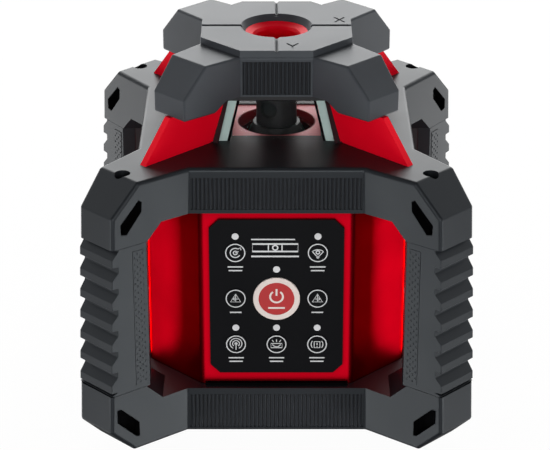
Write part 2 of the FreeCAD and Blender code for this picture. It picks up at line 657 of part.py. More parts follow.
well_plate = box("WellPlate", (-32.7, 32.7), (-32.7, 32.7), ("house_top - 1", "well_top"))
well_rim = box("WellRim", (-40, 40), (-40, 40), ("house_top - 3", "house_top - 0.1"))
node(carve("Well", join("WellBlank", [well_plate, well_rim]), [
    rod("WellHole", "well_hole", 20, 0, 0, 140)]), "rotor_well")

# strokes of the letters X and Y engraved beside the grooves: (middle x, middle y, length, degrees)
AXIS_MARKS = (
    (33.2, 8.7, 9.4, 56), (33.2, 8.7, 9.4, -56),
    (8.1, -34.6, 5.0, 90), (6.6, -30.2, 5.0, 125), (9.6, -30.2, 5.0, 55),
)

guard_star = prism("GuardStar", star("guard_bar_half", "guard_bar_out", "guard_near", "guard_far"),
                   "guard_low", "block_top - guard_low")
guard_slope = mirrored_profile([
    ("(guard_near + guard_far) / sqrt(2)", "guard_low"),
    ("(guard_near + guard_far) / sqrt(2)", "guard_shoulder"),
    ("block_slope", "block_top")])
guard_blocks = overlap("GuardBlocks", [guard_star] + diagonal_slabs("GuardSlope", guard_slope, WIDE))
guard_plate = tapered(
    "GuardPlate",
    octagon("guard_bar_half + 0.6", "guard_bar_out"), "block_top - 6",
    octagon("guard_bar_half", "guard_bar_out - 0.6"), "guard_top")
guard_blank = join("GuardBlank", [
    round_edges("GuardBlocksRound", guard_blocks, 1.2),
    guard_plate])
guard_arch = both_ways("GuardArch", [
    ("-arch_low_half", "guard_low - 1"), ("arch_low_half", "guard_low - 1"),
    ("arch_high_half", "guard_bar_low"), ("-arch_high_half", "guard_bar_low")], WIDE)
guard_hollow = turned("GuardHollow", [
    (0, "guard_low - 5"), ("guard_room", "guard_low - 5"), ("guard_room", "block_top - 8"),
    ("hole_wide", "block_top - 4"),
    ("hole_wide", "block_top"), ("hole_top", "guard_top"), ("hole_top", "guard_top + 1"),
    (0, "guard_top + 1")])
guard_flutes = []
for quarter in range(4):
    band = prism("GuardBand", [
        ("-guard_flute_half", "guard_bar_out - guard_flute_deep"),
        ("guard_flute_half", "guard_bar_out - guard_flute_deep"),
        ("guard_flute_half", "guard_bar_out + 8"), ("-guard_flute_half", "guard_bar_out + 8")],
        "guard_flute_from", "guard_flute_to - guard_flute_from")
    band.Placement = turned_by(90 * quarter)
    guard_flutes.append(band)
groove_level = ("guard_top - sight_deep", "guard_top + 1")
sight_grooves = [
    box("SightAlongX", (-60, 60), ("-sight_half", "sight_half"), groove_level),
    box("SightAlongY", ("-sight_half", "sight_half"), (-60, 60), groove_level)]
tongue_slots = diagonal_slabs("TongueSlot", mirrored_profile([
    ("tongue_far + 0.15", "guard_low - 1"), ("tongue_far + 0.15", "guard_low + tongue_tall + 0.15")]),
    "fin_thick + 0.3")
axis_marks = []
for x, y, length, angle in AXIS_MARKS:
    mark = prism("AxisMark", [
        (f"-{length} / 2", "-mark_wide / 2"), (f"{length} / 2", "-mark_wide / 2"),
        (f"{length} / 2", "mark_wide / 2"), (f"-{length} / 2", "mark_wide / 2")],
        "guard_top - mark_deep", 2)
    mark.Placement = FreeCAD.Placement(
        FreeCAD.Vector(x, y, 0), FreeCAD.Rotation(FreeCAD.Vector(0, 0, 1), angle))
    axis_marks.append(mark)
node(carve("Guard", guard_blank, guard_arch + [guard_hollow] + guard_flutes + sight_grooves
           + tongue_slots + axis_marks), "guard_cap")
node(turned("GuardRing", [
    ("ring_bore", "guard_low + 2"), ("hole_wide - 0.1", "guard_low + 2"),
    ("hole_wide - 0.1", "block_top"),
    ("ring_bore + 1", "block_top - 1.5"), ("ring_bore", "block_top - 3")]), "guard_ring")

# ---- chassis, levelling screws and the gimbal ----------------------------------------------------

pivot_posts = [box("Post", (x, f"{x} + post_far - post_near"), (-8, 8), (46, "pivot_level + 8"))
               for x in ("post_near", "-post_far")]
frame_legs = [rod("Leg", 4, 30, x, y, "house_low") for x in (-41, 41) for y in (-45, 8)]
frame_plate = box("FramePlate", (-50, 50), (-52, 14), (42, 46))
pedestal = box("Pedestal", (-9, 9), ("-lever_x - 9", "-lever_x + 9"), (46, 75))
post_bores = rod("PostBores", "pin_wide + running_gap", 120, -60, 0, "pivot_level", "x")
node(carve("ChassisFrame", join("FrameBlank", pivot_posts + frame_legs + [frame_plate, pedestal]), [
    post_bores]), "chassis_frame")

level_motors = []
for axis, x, y, motor_low, nut_low in (("x", 0, "-lever_x", 75, 98.8), ("y", "lever_y", 0, 46, 68.8)):
    level_motors.append(carve("LevelMotor", rod("LevelMotorBlank", 8, 19.5, x, y, motor_low), [
        rod("LevelMotorBore", "screw_wide + 0.1", 10, x, y, motor_low + 9.7)]))
    node(rod("LevelScrew", "screw_wide", 20, x, y, motor_low + 10), f"levelling_screw_{axis}")
    node(carve("LevelNut", rod("LevelNutBlank", 5, 14, x, y, nut_low), [
        rod("LevelNutThread", "screw_wide + 0.1", 11.5, x, y, nut_low)]), f"levelling_nut_{axis}")
node(group("LevelMotors", level_motors), "levelling_motors")

ring_body = turned("RingBody", [
    ("ring_inner", "pivot_level - 4"), ("ring_outer", "pivot_level - 4"),
    ("ring_outer", "pivot_level + 4"), ("ring_inner", "pivot_level + 4")])
ring_pins = [rod("RingPin", "pin_wide", "post_far - ring_outer + 0.7", x, 0, "pivot_level", "x")
             for x in ("ring_outer - 1", "-post_far + 0.3")]
ring_arm = box("RingArm", (-6, 6), (-50, -33), ("pivot_level - 4", "pivot_level"))
ring_hole = rod("RingHole", "pin_wide + running_gap", 90, 0, -45, "pivot_level", "y")
node(carve("GimbalRing", join("RingBlank", ring_pins + [ring_body, ring_arm]), [
    ring_hole]), "gimbal_ring")

# ---- laser carriage, which tilts inside the gimbal ring ------------------------------------------

carriage_tube = rod("CarriageTube", "carriage_wide", 74, 0, 0, 52)
cross_bar = box("CrossBar", (-6, 6), (-26, 26), ("pivot_level - 5", "pivot_level + 5"))
carriage_pins = [rod("CarriagePin", "pin_wide", 10.7, 0, y, "pivot_level", "y") for y in (25, -35.7)]
top_plate = box("TopPlate", (-26.3, 13), (-13.5, 13.5), (122.6, 126))
yoke = [box("Yoke", (-6, 6), (y, y + 2.5), (124, 135)) for y in (-13.5, 11)]
bearing_house = turned("BearingHouse", [
    (8, 132.8), ("bearing_wide + 4", 132.8), ("bearing_wide + 4", 143.6), ("bearing_wide", 143.6),
    ("bearing_wide", 134), (8, 134)])
lever_arm = box("LeverArm", (9, 36), (-6, 6), (84, 88))
node(carve("Carriage", join("CarriageBlank", carriage_pins + yoke + [
    carriage_tube, cross_bar, top_plate, bearing_house, lever_arm]), [
    rod("LaserBore", "laser_wide", 66, 0, 0, 50),
    rod("BeamBore", "hub_bore", 20, 0, 0, 112),
    rod("HubClearance", "hub_wide + 0.6", 3, 0, 0, 124.5),
    rod("MotorShaftHole", 2.2, 8, "-pulley_place", 0, 120),
    box("MotorSpace", (-28, -10.2), (-8, 8), (110, 122.6))]), "laser_carriage")
node(join("LaserModule", [
    rod("LaserBarrel", "laser_wide", 46, 0, 0, 58), rod("LaserDiode", 3.5, 10, 0, 0, 49)]), "laser_module")
node(group("LevelVials", [
    rod("VialX", 4.4, 24, -12, -14.4, 103, "x"), rod("VialY", 4.4, 24, 14.4, -12, 103, "y")]),
    "level_vials")
node(carve("RotorMotor", rod("RotorMotorBlank", 7.5, 24.6, "-pulley_place", 0, 98), [
    rod("RotorMotorBore", "screw_wide + running_gap", 6, "-pulley_place", 0, 117)]), "rotor_motor")
node(group("Bearings", [turned("Bearing", [
    ("hub_wide + running_gap", low), ("bearing_wide", low),
    ("bearing_wide", f"{low} + bearing_tall"), ("hub_wide + running_gap", f"{low} + bearing_tall")])
    for low in (134, 139.4)]), "rotor_bearings")


def belt_loop(small, large, distance, level):
    """A closed band round two pulleys on the X axis: two arcs and their two common tangents."""
    lean = math.acos((large - small) / distance)
    spots = []
    for centre, radius in ((0, large), (-distance, small)):
        spots.append([FreeCAD.Vector(centre - radius * math.cos(lean), side * radius * math.sin(lean),
                                     level) for side in (1, -1)])
    far_side = FreeCAD.Vector(large, 0, level)
    near_side = FreeCAD.Vector(-distance - small, 0, level)
    edges = [Part.Arc(spots[0][0], far_side, spots[0][1]).toShape(),
             Part.LineSegment(spots[0][1], spots[1][1]).toShape(),
             Part.Arc(spots[1][1], near_side, spots[1][0]).toShape(),
             Part.LineSegment(spots[1][0], spots[0][0]).toShape()]
    return Part.Face(Part.Wire(edges))


inner_loop = belt_loop(size("pulley_small + belt_room"), size("pulley_large + belt_room"),
                       size("pulley_place"), size("belt_level"))
outer_loop = belt_loop(size("pulley_small + belt_room + belt_thick"),
                       size("pulley_large + belt_room + belt_thick"),
                       size("pulley_place"), size("belt_level"))
belt_up = FreeCAD.Vector(0, 0, size("belt_tall"))
node(solid("DriveBelt", outer_loop.cut(inner_loop).extrude(belt_up)), "drive_belt")
node(join("MotorPulley", [
    rod("PulleyWheel", "pulley_small", "belt_tall + 2", "-pulley_place", 0, "belt_level - 1"),
    rod("PulleyShaft", "screw_wide", 14, "-pulley_place", 0, 118)]), "motor_pulley")

# ---- rotor ---------------------------------------------------------------------------------------

node(turned("RotorHub", [
    ("hub_bore", "belt_level - 1.4"), ("hub_wide", "belt_level - 1.4"),
    ("hub_wide", "belt_level - 1"), ("pulley_large", "belt_level - 1"),
    ("pulley_large", "belt_level + belt_tall + 1"), ("hub_wide", "belt_level + belt_tall + 1"),
    ("hub_wide", 146), (8.4, 146), (8.4, 148), ("hub_bore", 148)]), "rotor_hub")
head_blank = turned("HeadBlank", [
    (8.5, 144.6), (15.2, 144.6), (12.4, "well_top"), ("head_wide", "well_top"),
    ("head_wide", "head_top - 1.5"), ("head_wide - 1.5", "head_top"), (4, "head_top"),
    (4, "head_top - 3"), (8.5, "head_top - 3")])


def beam_turned(thing, start):
    """Lay a part along the beam, which leaves the head a little to the left of the front."""
    angle = math.radians(size("beam_turn"))
    direction = FreeCAD.Vector(-math.sin(angle), -math.cos(angle), 0)
    spot = direction * start + FreeCAD.Vector(0, 0, size("beam_level"))
    thing.Placement = FreeCAD.Placement(spot, FreeCAD.Rotation(FreeCAD.Vector(0, 0, 1), direction))
    return thing


beam_port = beam_turned(cylinder("BeamPort", 4.7, 20), 2)
node(carve("RotorHead", head_blank, [beam_port]), "rotor_head")
node(beam_turned(cylinder("RotorLens", 4.6, 1.8), 8.4), "rotor_lens")
prism_corners = [("-5.5", "-5"), ("5.5", "-5"), ("5.5", "3"), ("0", "5.5"), ("-5.5", "3")]
penta = prism("PentaPrism", prism_corners, "-5", "10", "YZ_Plane")
penta.Placement = FreeCAD.Placement(
    FreeCAD.Vector(0, 0, size("beam_level")),
    FreeCAD.Rotation(FreeCAD.Vector(0, 0, 1), -size("beam_turn")))
node(penta, "penta_prism")
node(rod("PlumbLens", 4, 2, 0, 0, "head_top - 2.4"), "plumb_lens")

# ---- electronics and battery ---------------------------------------------------------------------

node(box("MainBoard", (-36, 36), (-50, 6), (26, 27.6)), "main_board")
socket_parts = [
    box("SocketFlange", ("house_flat", "house_flat + 0.4"), (-7, 11.5), (33, 49)),
    box("SocketShell", ("house_flat - 9", "house_flat + 0.4"), (-5, 5), (36, 46)),
    box("LugLow", ("house_flat", "house_flat + 3.8"), (7.8, 11.5), (33, 34.6)),
    box("LugHigh", ("house_flat", "house_flat + 3.8"), (7.8, 11.5), (47.4, 49)),
    rod("HingePin", 0.75, 16, "house_flat + 2.1", 9.7, 33)]
node(carve("ChargeSocket", join("SocketBlank", socket_parts), [
    rod("SocketBore", 3.5, 12, "house_flat - 7", 0, 41, "x")]), "charge_socket")
node(carve("SocketCover", join("CoverBlank", [
    box("CoverPlate", ("house_flat + 0.7", "house_flat + 2.9"), (-6.6, 8.6), (34.9, 47.1)),
    rod("CoverBarrel", 1.4, 12.2, "house_flat + 2.1", 9.7, 34.9)]), [
    rod("BarrelBore", "0.75 + running_gap", 20, "house_flat + 2.1", 9.7, 32)]),
    "charge_port_cover")

node(carve("BatteryBay", box("BayBlock", (-34, 34), (16, "house_flat - house_wall"), (30, 58)), [
    box("BayRoom", (-32, 32), (18, 80), (32, 56))]), "battery_bay")
node(group("Contacts", [box("Contact", (x - 3, x + 3), (18, 18.8), (38, 50)) for x in (-15, 15)]),
     "battery_contacts")
pack_shell = carve("PackShell", box(
    "PackBlock", ("-pack_half", "pack_half"), ("pack_front", "cover_in"), ("pack_low", "pack_high")), [
    box("PackRoom", ("2 - pack_half", "pack_half - 2"), ("pack_front + 2", "cover_in - 2"),
        ("pack_low + 2", "pack_high - 2"))])
node(pack_shell, "battery_pack")
node(group("Cells", [rod("Cell", 7.2, 50, -25, y, 44, "x") for y in (29, 44.5, 58.5)]),
     "battery_cells")
cover_outline = [(37, 30.5), (37, 60), (30, 69), (-30, 69), (-37, 60), (-37, 30.5)]
cover_blank = prism("CoverBlankPlate", cover_outline, "-cover_out", "cover_out - cover_in",
                    "XZ_Plane")
node(carve("BatteryCover", cover_blank, [
    rod("ThumbHole", "2 + running_gap", 20, 0, 60, 63, "y"),
    rod("ThumbSeat", 7.3, 20, 0, "cover_out - 1.5", 63, "y")]), "battery_cover")
node(join("ThumbScrew", [
    rod("ThumbShank", 2, 16, 0, 58, 63, "y"),
    rod("ThumbHead", 6.5, 5, 0, "cover_out - 1.2", 63, "y")]), "battery_thumb_screw")

# ---- check and write -----------------------------------------------------------------------------

doc.recompute()
for thing in doc.Objects:
    if "Invalid" in thing.State or "Error" in thing.State:
        raise RuntimeError(f"{thing.Label} failed: {thing.State}")
os.makedirs("parts", exist_ok=True)
for thing in nodes:
    shape = thing.Shape
    if shape.isNull() or not shape.isValid() or not shape.Solids:
        raise RuntimeError(f"{thing.Label} has no valid shape")
for thing in nodes:
    thing.Shape.exportStep(os.path.join("parts", thing.Label + ".step"))
    reach = thing.Shape.BoundBox
    print(f"{thing.Label}: {len(thing.Shape.Solids)} solids, {thing.Shape.Volume:.0f} mm3, "
          f"x {reach.XMin:.1f}..{reach.XMax:.1f} y {reach.YMin:.1f}..{reach.YMax:.1f} "
          f"z {reach.ZMin:.1f}..{reach.ZMax:.1f}")
print(len(nodes), "nodes")
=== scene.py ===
import json
import math

import bmesh
import bpy
from mathutils import Matrix, Vector


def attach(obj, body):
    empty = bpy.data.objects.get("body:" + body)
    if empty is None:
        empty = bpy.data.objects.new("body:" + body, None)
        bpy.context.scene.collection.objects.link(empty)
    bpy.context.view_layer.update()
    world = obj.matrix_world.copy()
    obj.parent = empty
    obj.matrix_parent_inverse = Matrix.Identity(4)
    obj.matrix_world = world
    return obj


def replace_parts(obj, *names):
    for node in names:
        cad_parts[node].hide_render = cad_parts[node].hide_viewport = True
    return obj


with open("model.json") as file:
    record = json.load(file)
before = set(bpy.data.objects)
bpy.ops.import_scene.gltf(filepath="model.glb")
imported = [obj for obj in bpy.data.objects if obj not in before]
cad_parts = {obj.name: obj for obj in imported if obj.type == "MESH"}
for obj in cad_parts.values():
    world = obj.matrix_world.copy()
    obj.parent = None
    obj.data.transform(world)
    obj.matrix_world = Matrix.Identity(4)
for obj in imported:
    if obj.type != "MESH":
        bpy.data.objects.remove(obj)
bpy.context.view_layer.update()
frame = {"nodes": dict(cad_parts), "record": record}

MM = 0.001
NODES = frame["nodes"]
scene = bpy.context.scene
scene.view_settings.view_transform = "Standard"


# ---- materials -----------------------------------------------------------------------------------

def new_material(name):
    """An empty node material: (material, nodes, links, its Principled shader)."""
    made = bpy.data.materials.new(name)
    made.use_nodes = True
    nodes, links = made.node_tree.nodes, made.node_tree.links
    return made, nodes, links, nodes["Principled BSDF"]


def noise(nodes, links, scale, detail=2.0):
    """A noise texture that is fixed to the object."""
    place = nodes.new("ShaderNodeTexCoord")
    texture = nodes.new("ShaderNodeTexNoise")
    texture.inputs["Scale"].default_value = scale
    texture.inputs["Detail"].default_value = detail
    links.new(place.outputs["Object"], texture.inputs["Vector"])
    return texture


def spread(nodes, links, texture, low, high, socket):
    """Drive a shader's socket between two values by a texture."""
    span = nodes.new("ShaderNodeMapRange")
    span.inputs["To Min"].default_value = low
    span.inputs["To Max"].default_value = high
    links.new(texture.outputs["Fac"], span.inputs["Value"])
    links.new(span.outputs["Result"], socket)


def tones(nodes, links, texture, dark, light):
    """Blend between two colours by a texture."""
    ramp = nodes.new("ShaderNodeValToRGB")
    ramp.color_ramp.elements[0].color = (*dark, 1)
    ramp.color_ramp.elements[1].color = (*light, 1)
    links.new(texture.outputs["Fac"], ramp.inputs["Fac"])
    return ramp


def moulded(name, colour, rough, grain=0.02, grain_size=1.2, mottle=0.12, specular=0.5,
            metallic=0.0, sheen_tint=None, painted_shade_reach=0.0):
    """Moulded plastic or rubber: an uneven colour and gloss over a fine spark-eroded grain.

    grain, grain_size and the reach of the painted shade, which darkens the colour in corners and
    recesses, are in millimetres.
    """
    made, nodes, links, shader = new_material(name)
    broad = noise(nodes, links, scale=38.0, detail=5.0)
    tone = tones(nodes, links, broad, [c * (1 - mottle) for c in colour],
                 [min(1, c * (1 + mottle)) for c in colour])
    tone.color_ramp.elements[0].position = 0.3
    tone.color_ramp.elements[1].position = 0.7
    if painted_shade_reach:
        # Painted shade: an ambient-occlusion node darkens the base colour in corners and recesses.
        painted_shade = nodes.new("ShaderNodeAmbientOcclusion")
        painted_shade.inputs["Distance"].default_value = painted_shade_reach * MM
        links.new(tone.outputs["Color"], painted_shade.inputs["Color"])
        links.new(painted_shade.outputs["Color"], shader.inputs["Base Color"])
    else:
        links.new(tone.outputs["Color"], shader.inputs["Base Color"])
    spread(nodes, links, broad, rough - 0.05, rough + 0.05, shader.inputs["Roughness"])
    fine = noise(nodes, links, scale=1000.0 / grain_size, detail=3.0)
    bump = nodes.new("ShaderNodeBump")
    bump.inputs["Strength"].default_value = 0.35
    bump.inputs["Distance"].default_value = grain * MM
    links.new(fine.outputs["Fac"], bump.inputs["Height"])
    links.new(bump.outputs["Normal"], shader.inputs["Normal"])
    shader.inputs["Specular IOR Level"].default_value = specular
    shader.inputs["Metallic"].default_value = metallic
    if sheen_tint:
        shader.inputs["Specular Tint"].default_value = (*sheen_tint, 1)
    return made


def turned_metal(name, colour, rough):
    """Machined metal with fine tool marks."""
    made, nodes, links, shader = new_material(name)
    place = nodes.new("ShaderNodeTexCoord")
    stretch = nodes.new("ShaderNodeMapping")
    stretch.inputs["Scale"].default_value = (0.08, 0.08, 1.0)
    links.new(place.outputs["Object"], stretch.inputs["Vector"])
    marks = nodes.new("ShaderNodeTexNoise")
    marks.inputs["Scale"].default_value = 900.0
    links.new(stretch.outputs["Vector"], marks.inputs["Vector"])
    spread(nodes, links, marks, rough - 0.08, rough + 0.1, shader.inputs["Roughness"])
    tone = tones(nodes, links, marks, [c * 0.8 for c in colour], colour)
    links.new(tone.outputs["Color"], shader.inputs["Base Color"])
    shader.inputs["Metallic"].default_value = 1.0
    return made


def clear_glass(name, tint):
    """Solid glass with faint handling haze."""
    made, nodes, links, shader = new_material(name)
    shader.inputs["Base Color"].default_value = (*tint, 1)
    shader.inputs["Transmission Weight"].default_value = 1.0
    shader.inputs["IOR"].default_value = 1.45
    haze = noise(nodes, links, scale=60.0)
    spread(nodes, links, haze, 0.0, 0.04, shader.inputs["Roughness"])
    return made


def thin_pane(name, tint, cover):
    """A flat pane with a faint tint and gloss: cover is how much of the view it hides."""
    made, nodes, links, shader = new_material(name)
    tone = tones(nodes, links, noise(nodes, links, scale=60.0), [c * 0.9 for c in tint], tint)
    links.new(tone.outputs["Color"], shader.inputs["Base Color"])
    shader.inputs["Roughness"].default_value = 0.05
    shader.inputs["Specular IOR Level"].default_value = 0.1
    shader.inputs["Alpha"].default_value = cover
    return made


def printed(name, colour):
    """Screen-printed ink with a slight unevenness."""
    return moulded(name, colour, 0.5, grain=0.004, grain_size=0.4, mottle=0.04)


MATERIALS = {
    "bumper": moulded("bumper_plastic", (0.010, 0.011, 0.0135), 0.42, grain=0.012, grain_size=0.9,
                      sheen_tint=(0.86, 0.95, 1.0), specular=0.28),
    # The bumper plastic made lighter for the guard cap and sight grooves: painted light standing in
    # for light on the guard.
    "guard": moulded("painted_light_guard", (0.036, 0.039, 0.045), 0.42, grain=0.012, grain_size=0.9,
                     sheen_tint=(0.86, 0.95, 1.0), specular=0.28),
    "insert": moulded("fluted_insert", (0.011, 0.012, 0.015), 0.42, grain=0.012, grain_size=0.8,
                      sheen_tint=(0.86, 0.95, 1.0), specular=0.24),
    # The red shell has painted shade: its colour darkens within 16 mm of corners and recesses.
    "red_shell": moulded("red_gloss", (0.68, 0.0012, 0.014), 0.32, grain=0.004, grain_size=3.0,
                         mottle=0.03, metallic=1.0, specular=0.05,
                         sheen_tint=(1.0, 0.05, 0.08), painted_shade_reach=16.0),
    # A darker copy of the red: painted shade for the hollow of the rotor well.
    "red_painted_shade_well": moulded("red_painted_shade_well", (0.15, 0.004, 0.008), 0.6, grain=0.004, specular=0.05),
    "red_fin": moulded("red_fin", (0.84, 0.0012, 0.016), 0.36, grain=0.004, grain_size=3.0,
                       mottle=0.03, metallic=0.12, specular=0.1),
    "groove": moulded("flute_ground", (0.010, 0.011, 0.013), 0.5, grain=0.01, specular=0.16),
    "black_plastic": moulded("black_plastic", (0.012, 0.012, 0.014), 0.5, grain=0.008,
                             specular=0.3),
    "soft_black": moulded("soft_rubber", (0.018, 0.018, 0.020), 0.7, grain=0.03),
    "foot": moulded("foot_rubber", (0.42, 0.40, 0.36), 0.75, grain=0.03),
    "keypad": moulded("keypad_film", (0.0030, 0.0032, 0.0042), 0.5, grain=0.006, grain_size=0.5,
                      specular=0.08),
    "key": moulded("key_film", (0.003, 0.0032, 0.0042), 0.5, grain=0.006, grain_size=0.5,
                   specular=0.08),
    "key_red": moulded("key_red_film", (0.42, 0.012, 0.014), 0.4, grain=0.006, grain_size=0.5,
                       mottle=0.05),
    "light": moulded("indicator_lens", (0.62, 0.62, 0.63), 0.25, grain=0.004),
    "rotor_black": moulded("rotor_anodised", (0.007, 0.007, 0.008), 0.45, grain=0.008,
                           specular=0.2),
    "vial": moulded("vial_fluid", (0.45, 0.72, 0.08), 0.1, grain=0.002),
    "board": moulded("solder_mask", (0.01, 0.12, 0.04), 0.35, grain=0.01),
    "cell": moulded("cell_sleeve", (0.03, 0.12, 0.30), 0.3, grain=0.005),
    "knob": moulded("knob_plastic", (0.02, 0.02, 0.022), 0.5),
    # The plate's own red with painted reflection: white mixed into the colour makes it pink, as a
    # reflected bright backdrop would.
    "well": moulded("red_plate_with_painted_reflection", (0.74, 0.17, 0.19), 0.35, grain=0.003, mottle=0.03,
                    specular=0.15),
    "ink": printed("white_ink", (0.60, 0.61, 0.62)),
    "ink_warm": printed("warm_white_ink", (0.72, 0.63, 0.59)),
    # Near-black with almost no gloss: the dark inner strips of the windows, and painted shade in
    # the slots and below the openings.
    "near_black_and_shade": moulded("near_black_mark_and_painted_shade", (0.0015, 0.0015, 0.0018), 0.8, grain=0.004,
                         specular=0.02),
    "glass_edge": moulded("ground_glass_edge", (0.30, 0.41, 0.385), 0.45, grain=0.01, mottle=0.10),
    "pane": thin_pane("window_pane", (0.03, 0.045, 0.042), 0.03),
    "lens": thin_pane("lens_glass", (0.006, 0.008, 0.008), 0.55),
    "glass": clear_glass("window_glass", (0.93, 0.99, 0.98)),
    "machined": turned_metal("machined_aluminium", (0.75, 0.75, 0.77), 0.34),
    "steel": turned_metal("steel", (0.50, 0.50, 0.52), 0.3),
    "brass": turned_metal("brass", (0.80, 0.58, 0.25), 0.3),
}

OWN_FINISH = {"keypad_overlay": "keypad", "rotor_well": "well", "lantern_cage": "red_fin",
              "guard_ring": "red_fin", "guard_cap": "guard", "rotor_lens": "lens",
              "window_front": "pane", "window_right": "pane", "window_rear": "pane",
              "window_left": "pane"}

for entry in frame["record"]["subparts"]:
    node = NODES[entry["node"]]
    node.data.materials.clear()
    node.data.materials.append(MATERIALS[OWN_FINISH.get(entry["node"], entry["material_slot"])])


# ---- mesh helpers --------------------------------------------------------------------------------

def finish_mesh(name, mesh_data, material, body, smooth_angle=35):
    """Turn a bmesh in millimetres into a piece that rides on a body."""
    bmesh.ops.recalc_face_normals(mesh_data, faces=mesh_data.faces)
    mesh = bpy.data.meshes.new(name)
    mesh_data.transform(Matrix.Scale(MM, 4))
    mesh_data.to_mesh(mesh)
    mesh_data.free()
    mesh.materials.append(MATERIALS[material])
    piece = bpy.data.objects.new(name, mesh)
    scene.collection.objects.link(piece)
    mesh.shade_smooth()
    mesh.set_sharp_from_angle(angle=math.radians(smooth_angle))
    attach(piece, body)
    return piece


def join_ring(mesh_data, low, high):
    """Faces between two loops of vertices."""
    for index in range(len(low)):
        after = (index + 1) % len(low)
        mesh_data.faces.new((low[index], low[after], high[after], high[index]))


def add_loft(mesh_data, rings, capped=True):
    """A skin through rings of points, capped at both ends or left open."""
    loops = [[mesh_data.verts.new(point) for point in ring] for ring in rings]
    for low, high in zip(loops, loops[1:]):
        join_ring(mesh_data, low, high)
    if capped:
        mesh_data.faces.new(list(reversed(loops[0])))
        mesh_data.faces.new(loops[-1])
    return loops


def bevelled(piece, width, segments=3, angle=30):
    """Round every edge sharper than an angle, and keep the flat faces flat."""
    modifier = piece.modifiers.new("Edges", "BEVEL")
    modifier.width = width * MM
    modifier.segments = segments
    modifier.limit_method = "ANGLE"
    modifier.angle_limit = math.radians(angle)
    modifier.harden_normals = True
    modifier.miter_outer = "MITER_ARC"
    return piece


def turned(points, quarter):
    """Points turned about the object's upright axis by quarters of a turn."""
    spin = Matrix.Rotation(quarter * math.pi / 2, 3, "Z")
    return [spin @ Vector(point) for point in points]


# ---- the case's plan, as the CAD model has it ----------------------------------------------------

FOOT_TALL = 3.0
DECK_LEVEL = 153.0
BASE_PLAN = {"half": 47.0, "out": 74.0, "near": 85.5, "far": 103.2}
DECK_PLAN = {"half": 44.0, "out": 71.3, "near": 80.8, "far": 98.4}


def plan(level):
    """The case's plan at a height: the bar's half length and distance, a corner's two places."""
    share = (level - FOOT_TALL) / (DECK_LEVEL - FOOT_TALL)
    return {key: BASE_PLAN[key] + share * (DECK_PLAN[key] - BASE_PLAN[key]) for key in BASE_PLAN}


# ---- corner grips: ribs like shingles on the chamfered face --------------------------------------

SEAM_LOW, SEAM_HIGH = 38.2, 120.0
RIBS, RIB_FIRST, RIB_PITCH = 7, 110.6, 11.7
RIB_DEEP, RIB_VALLEY, RIB_SLOPE = 3.6, 3.4, 4.0
LOWEST_RIB, LOWEST_DEEP = SEAM_LOW + 1.0, 0.9
GRIP_BACK, GRIP_SIDE = 103.0, 65.4


def grip_levels():
    """(height, depth below the corner's face) pairs from the top seam down."""
    pairs = [(SEAM_HIGH, RIB_DEEP)]
    for rib in range(RIBS):
        crest_low = RIB_FIRST - rib * RIB_PITCH
        slope_low = crest_low - RIB_VALLEY - RIB_SLOPE + RIB_PITCH
        pairs += [(slope_low + RIB_SLOPE, RIB_DEEP), (slope_low, 0.0), (crest_low, 0.0),
                  (crest_low - 0.25, RIB_DEEP)]
    pairs = [pair for pair in pairs if LOWEST_RIB < pair[0] <= SEAM_HIGH]
    return pairs + [(LOWEST_RIB, 0.0), (LOWEST_RIB - 0.4, LOWEST_DEEP), (SEAM_LOW, LOWEST_DEEP)]


def grip_section(level, depth):
    """Six points of a grip's section on the corner at +X +Y."""
    here = plan(level)
    slope = (here["far"] - here["out"]) / (here["near"] - here["half"])
    total = here["near"] + here["far"] - depth * math.sqrt(2)
    outer_x = (total - here["far"] + slope * here["near"]) / (1 + slope)
    outer = (outer_x, total - outer_x)
    side = (GRIP_SIDE, here["far"] - (here["near"] - GRIP_SIDE) * slope)
    back = (GRIP_SIDE, GRIP_BACK * math.sqrt(2) - GRIP_SIDE)
    half = [outer, side, back]
    return [(x, y, level) for x, y in half + [(y, x) for x, y in reversed(half)]]


def corner_grip(name, quarter):
    """A grip with its ribs, in place of the CAD model's own."""
    mesh_data = bmesh.new()
    rings = [turned(grip_section(*pair), quarter) for pair in grip_levels()]
    add_loft(mesh_data, rings)
    piece = finish_mesh(f"grip_{name}", mesh_data, "bumper", "chassis")
    bevelled(piece, 0.7, segments=3, angle=20)
    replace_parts(piece, f"corner_grip_{name}")


QUARTERS = {"rear_right": 0, "rear_left": 1, "front_left": 2, "front_right": 3}
for grip_name, grip_quarter in QUARTERS.items():
    corner_grip(grip_name, grip_quarter)


# ---- black cups of painted shade in the slots, and the dimples on the grips ----------------------

SLOT_DEEP = 6.0
UPPER_SLOT = ((-3.8, 8.6), (-5.4, 7.2), (-5.1, 1.9), (2.2, -8.5), (5.0, -7.8), (5.2, -2.3))
LOWER_SLOT = ((5.0, 9.1), (3.1, 9.0), (-5.1, -1.1), (-5.1, -9.5), (-3.4, -9.0), (5.1, 1.6))
UPPER_SLOT_PLACE, LOWER_SLOT_PLACE = (72.4, 135.1), (76.0, 20.5)
CUP_SECTION = ((0.93, SLOT_DEEP - 0.25), (0.93, 0.5), (0.995, 0.35), (0.995, SLOT_DEEP - 0.02))
CASE_LEAN = (BASE_PLAN["out"] - DECK_PLAN["out"]) / (DECK_LEVEL - FOOT_TALL)
HANDS = ((False, "a"), (True, "b"))


def slanted_spot(across, level, out, mirrored, quarter):
    """A point by a slanted face of the case: across is its x there, out is square to it."""
    slope = (DECK_PLAN["far"] - DECK_PLAN["out"]) / (DECK_PLAN["near"] - DECK_PLAN["half"])
    slant = math.atan(slope)
    x = across - out * math.sin(slant)
    y = (DECK_PLAN["out"] + (across - DECK_PLAN["half"]) * slope + CASE_LEAN * (DECK_LEVEL - level)
         + out * math.cos(slant))
    return turned([(-x if mirrored else x, y, level)], quarter)[0]


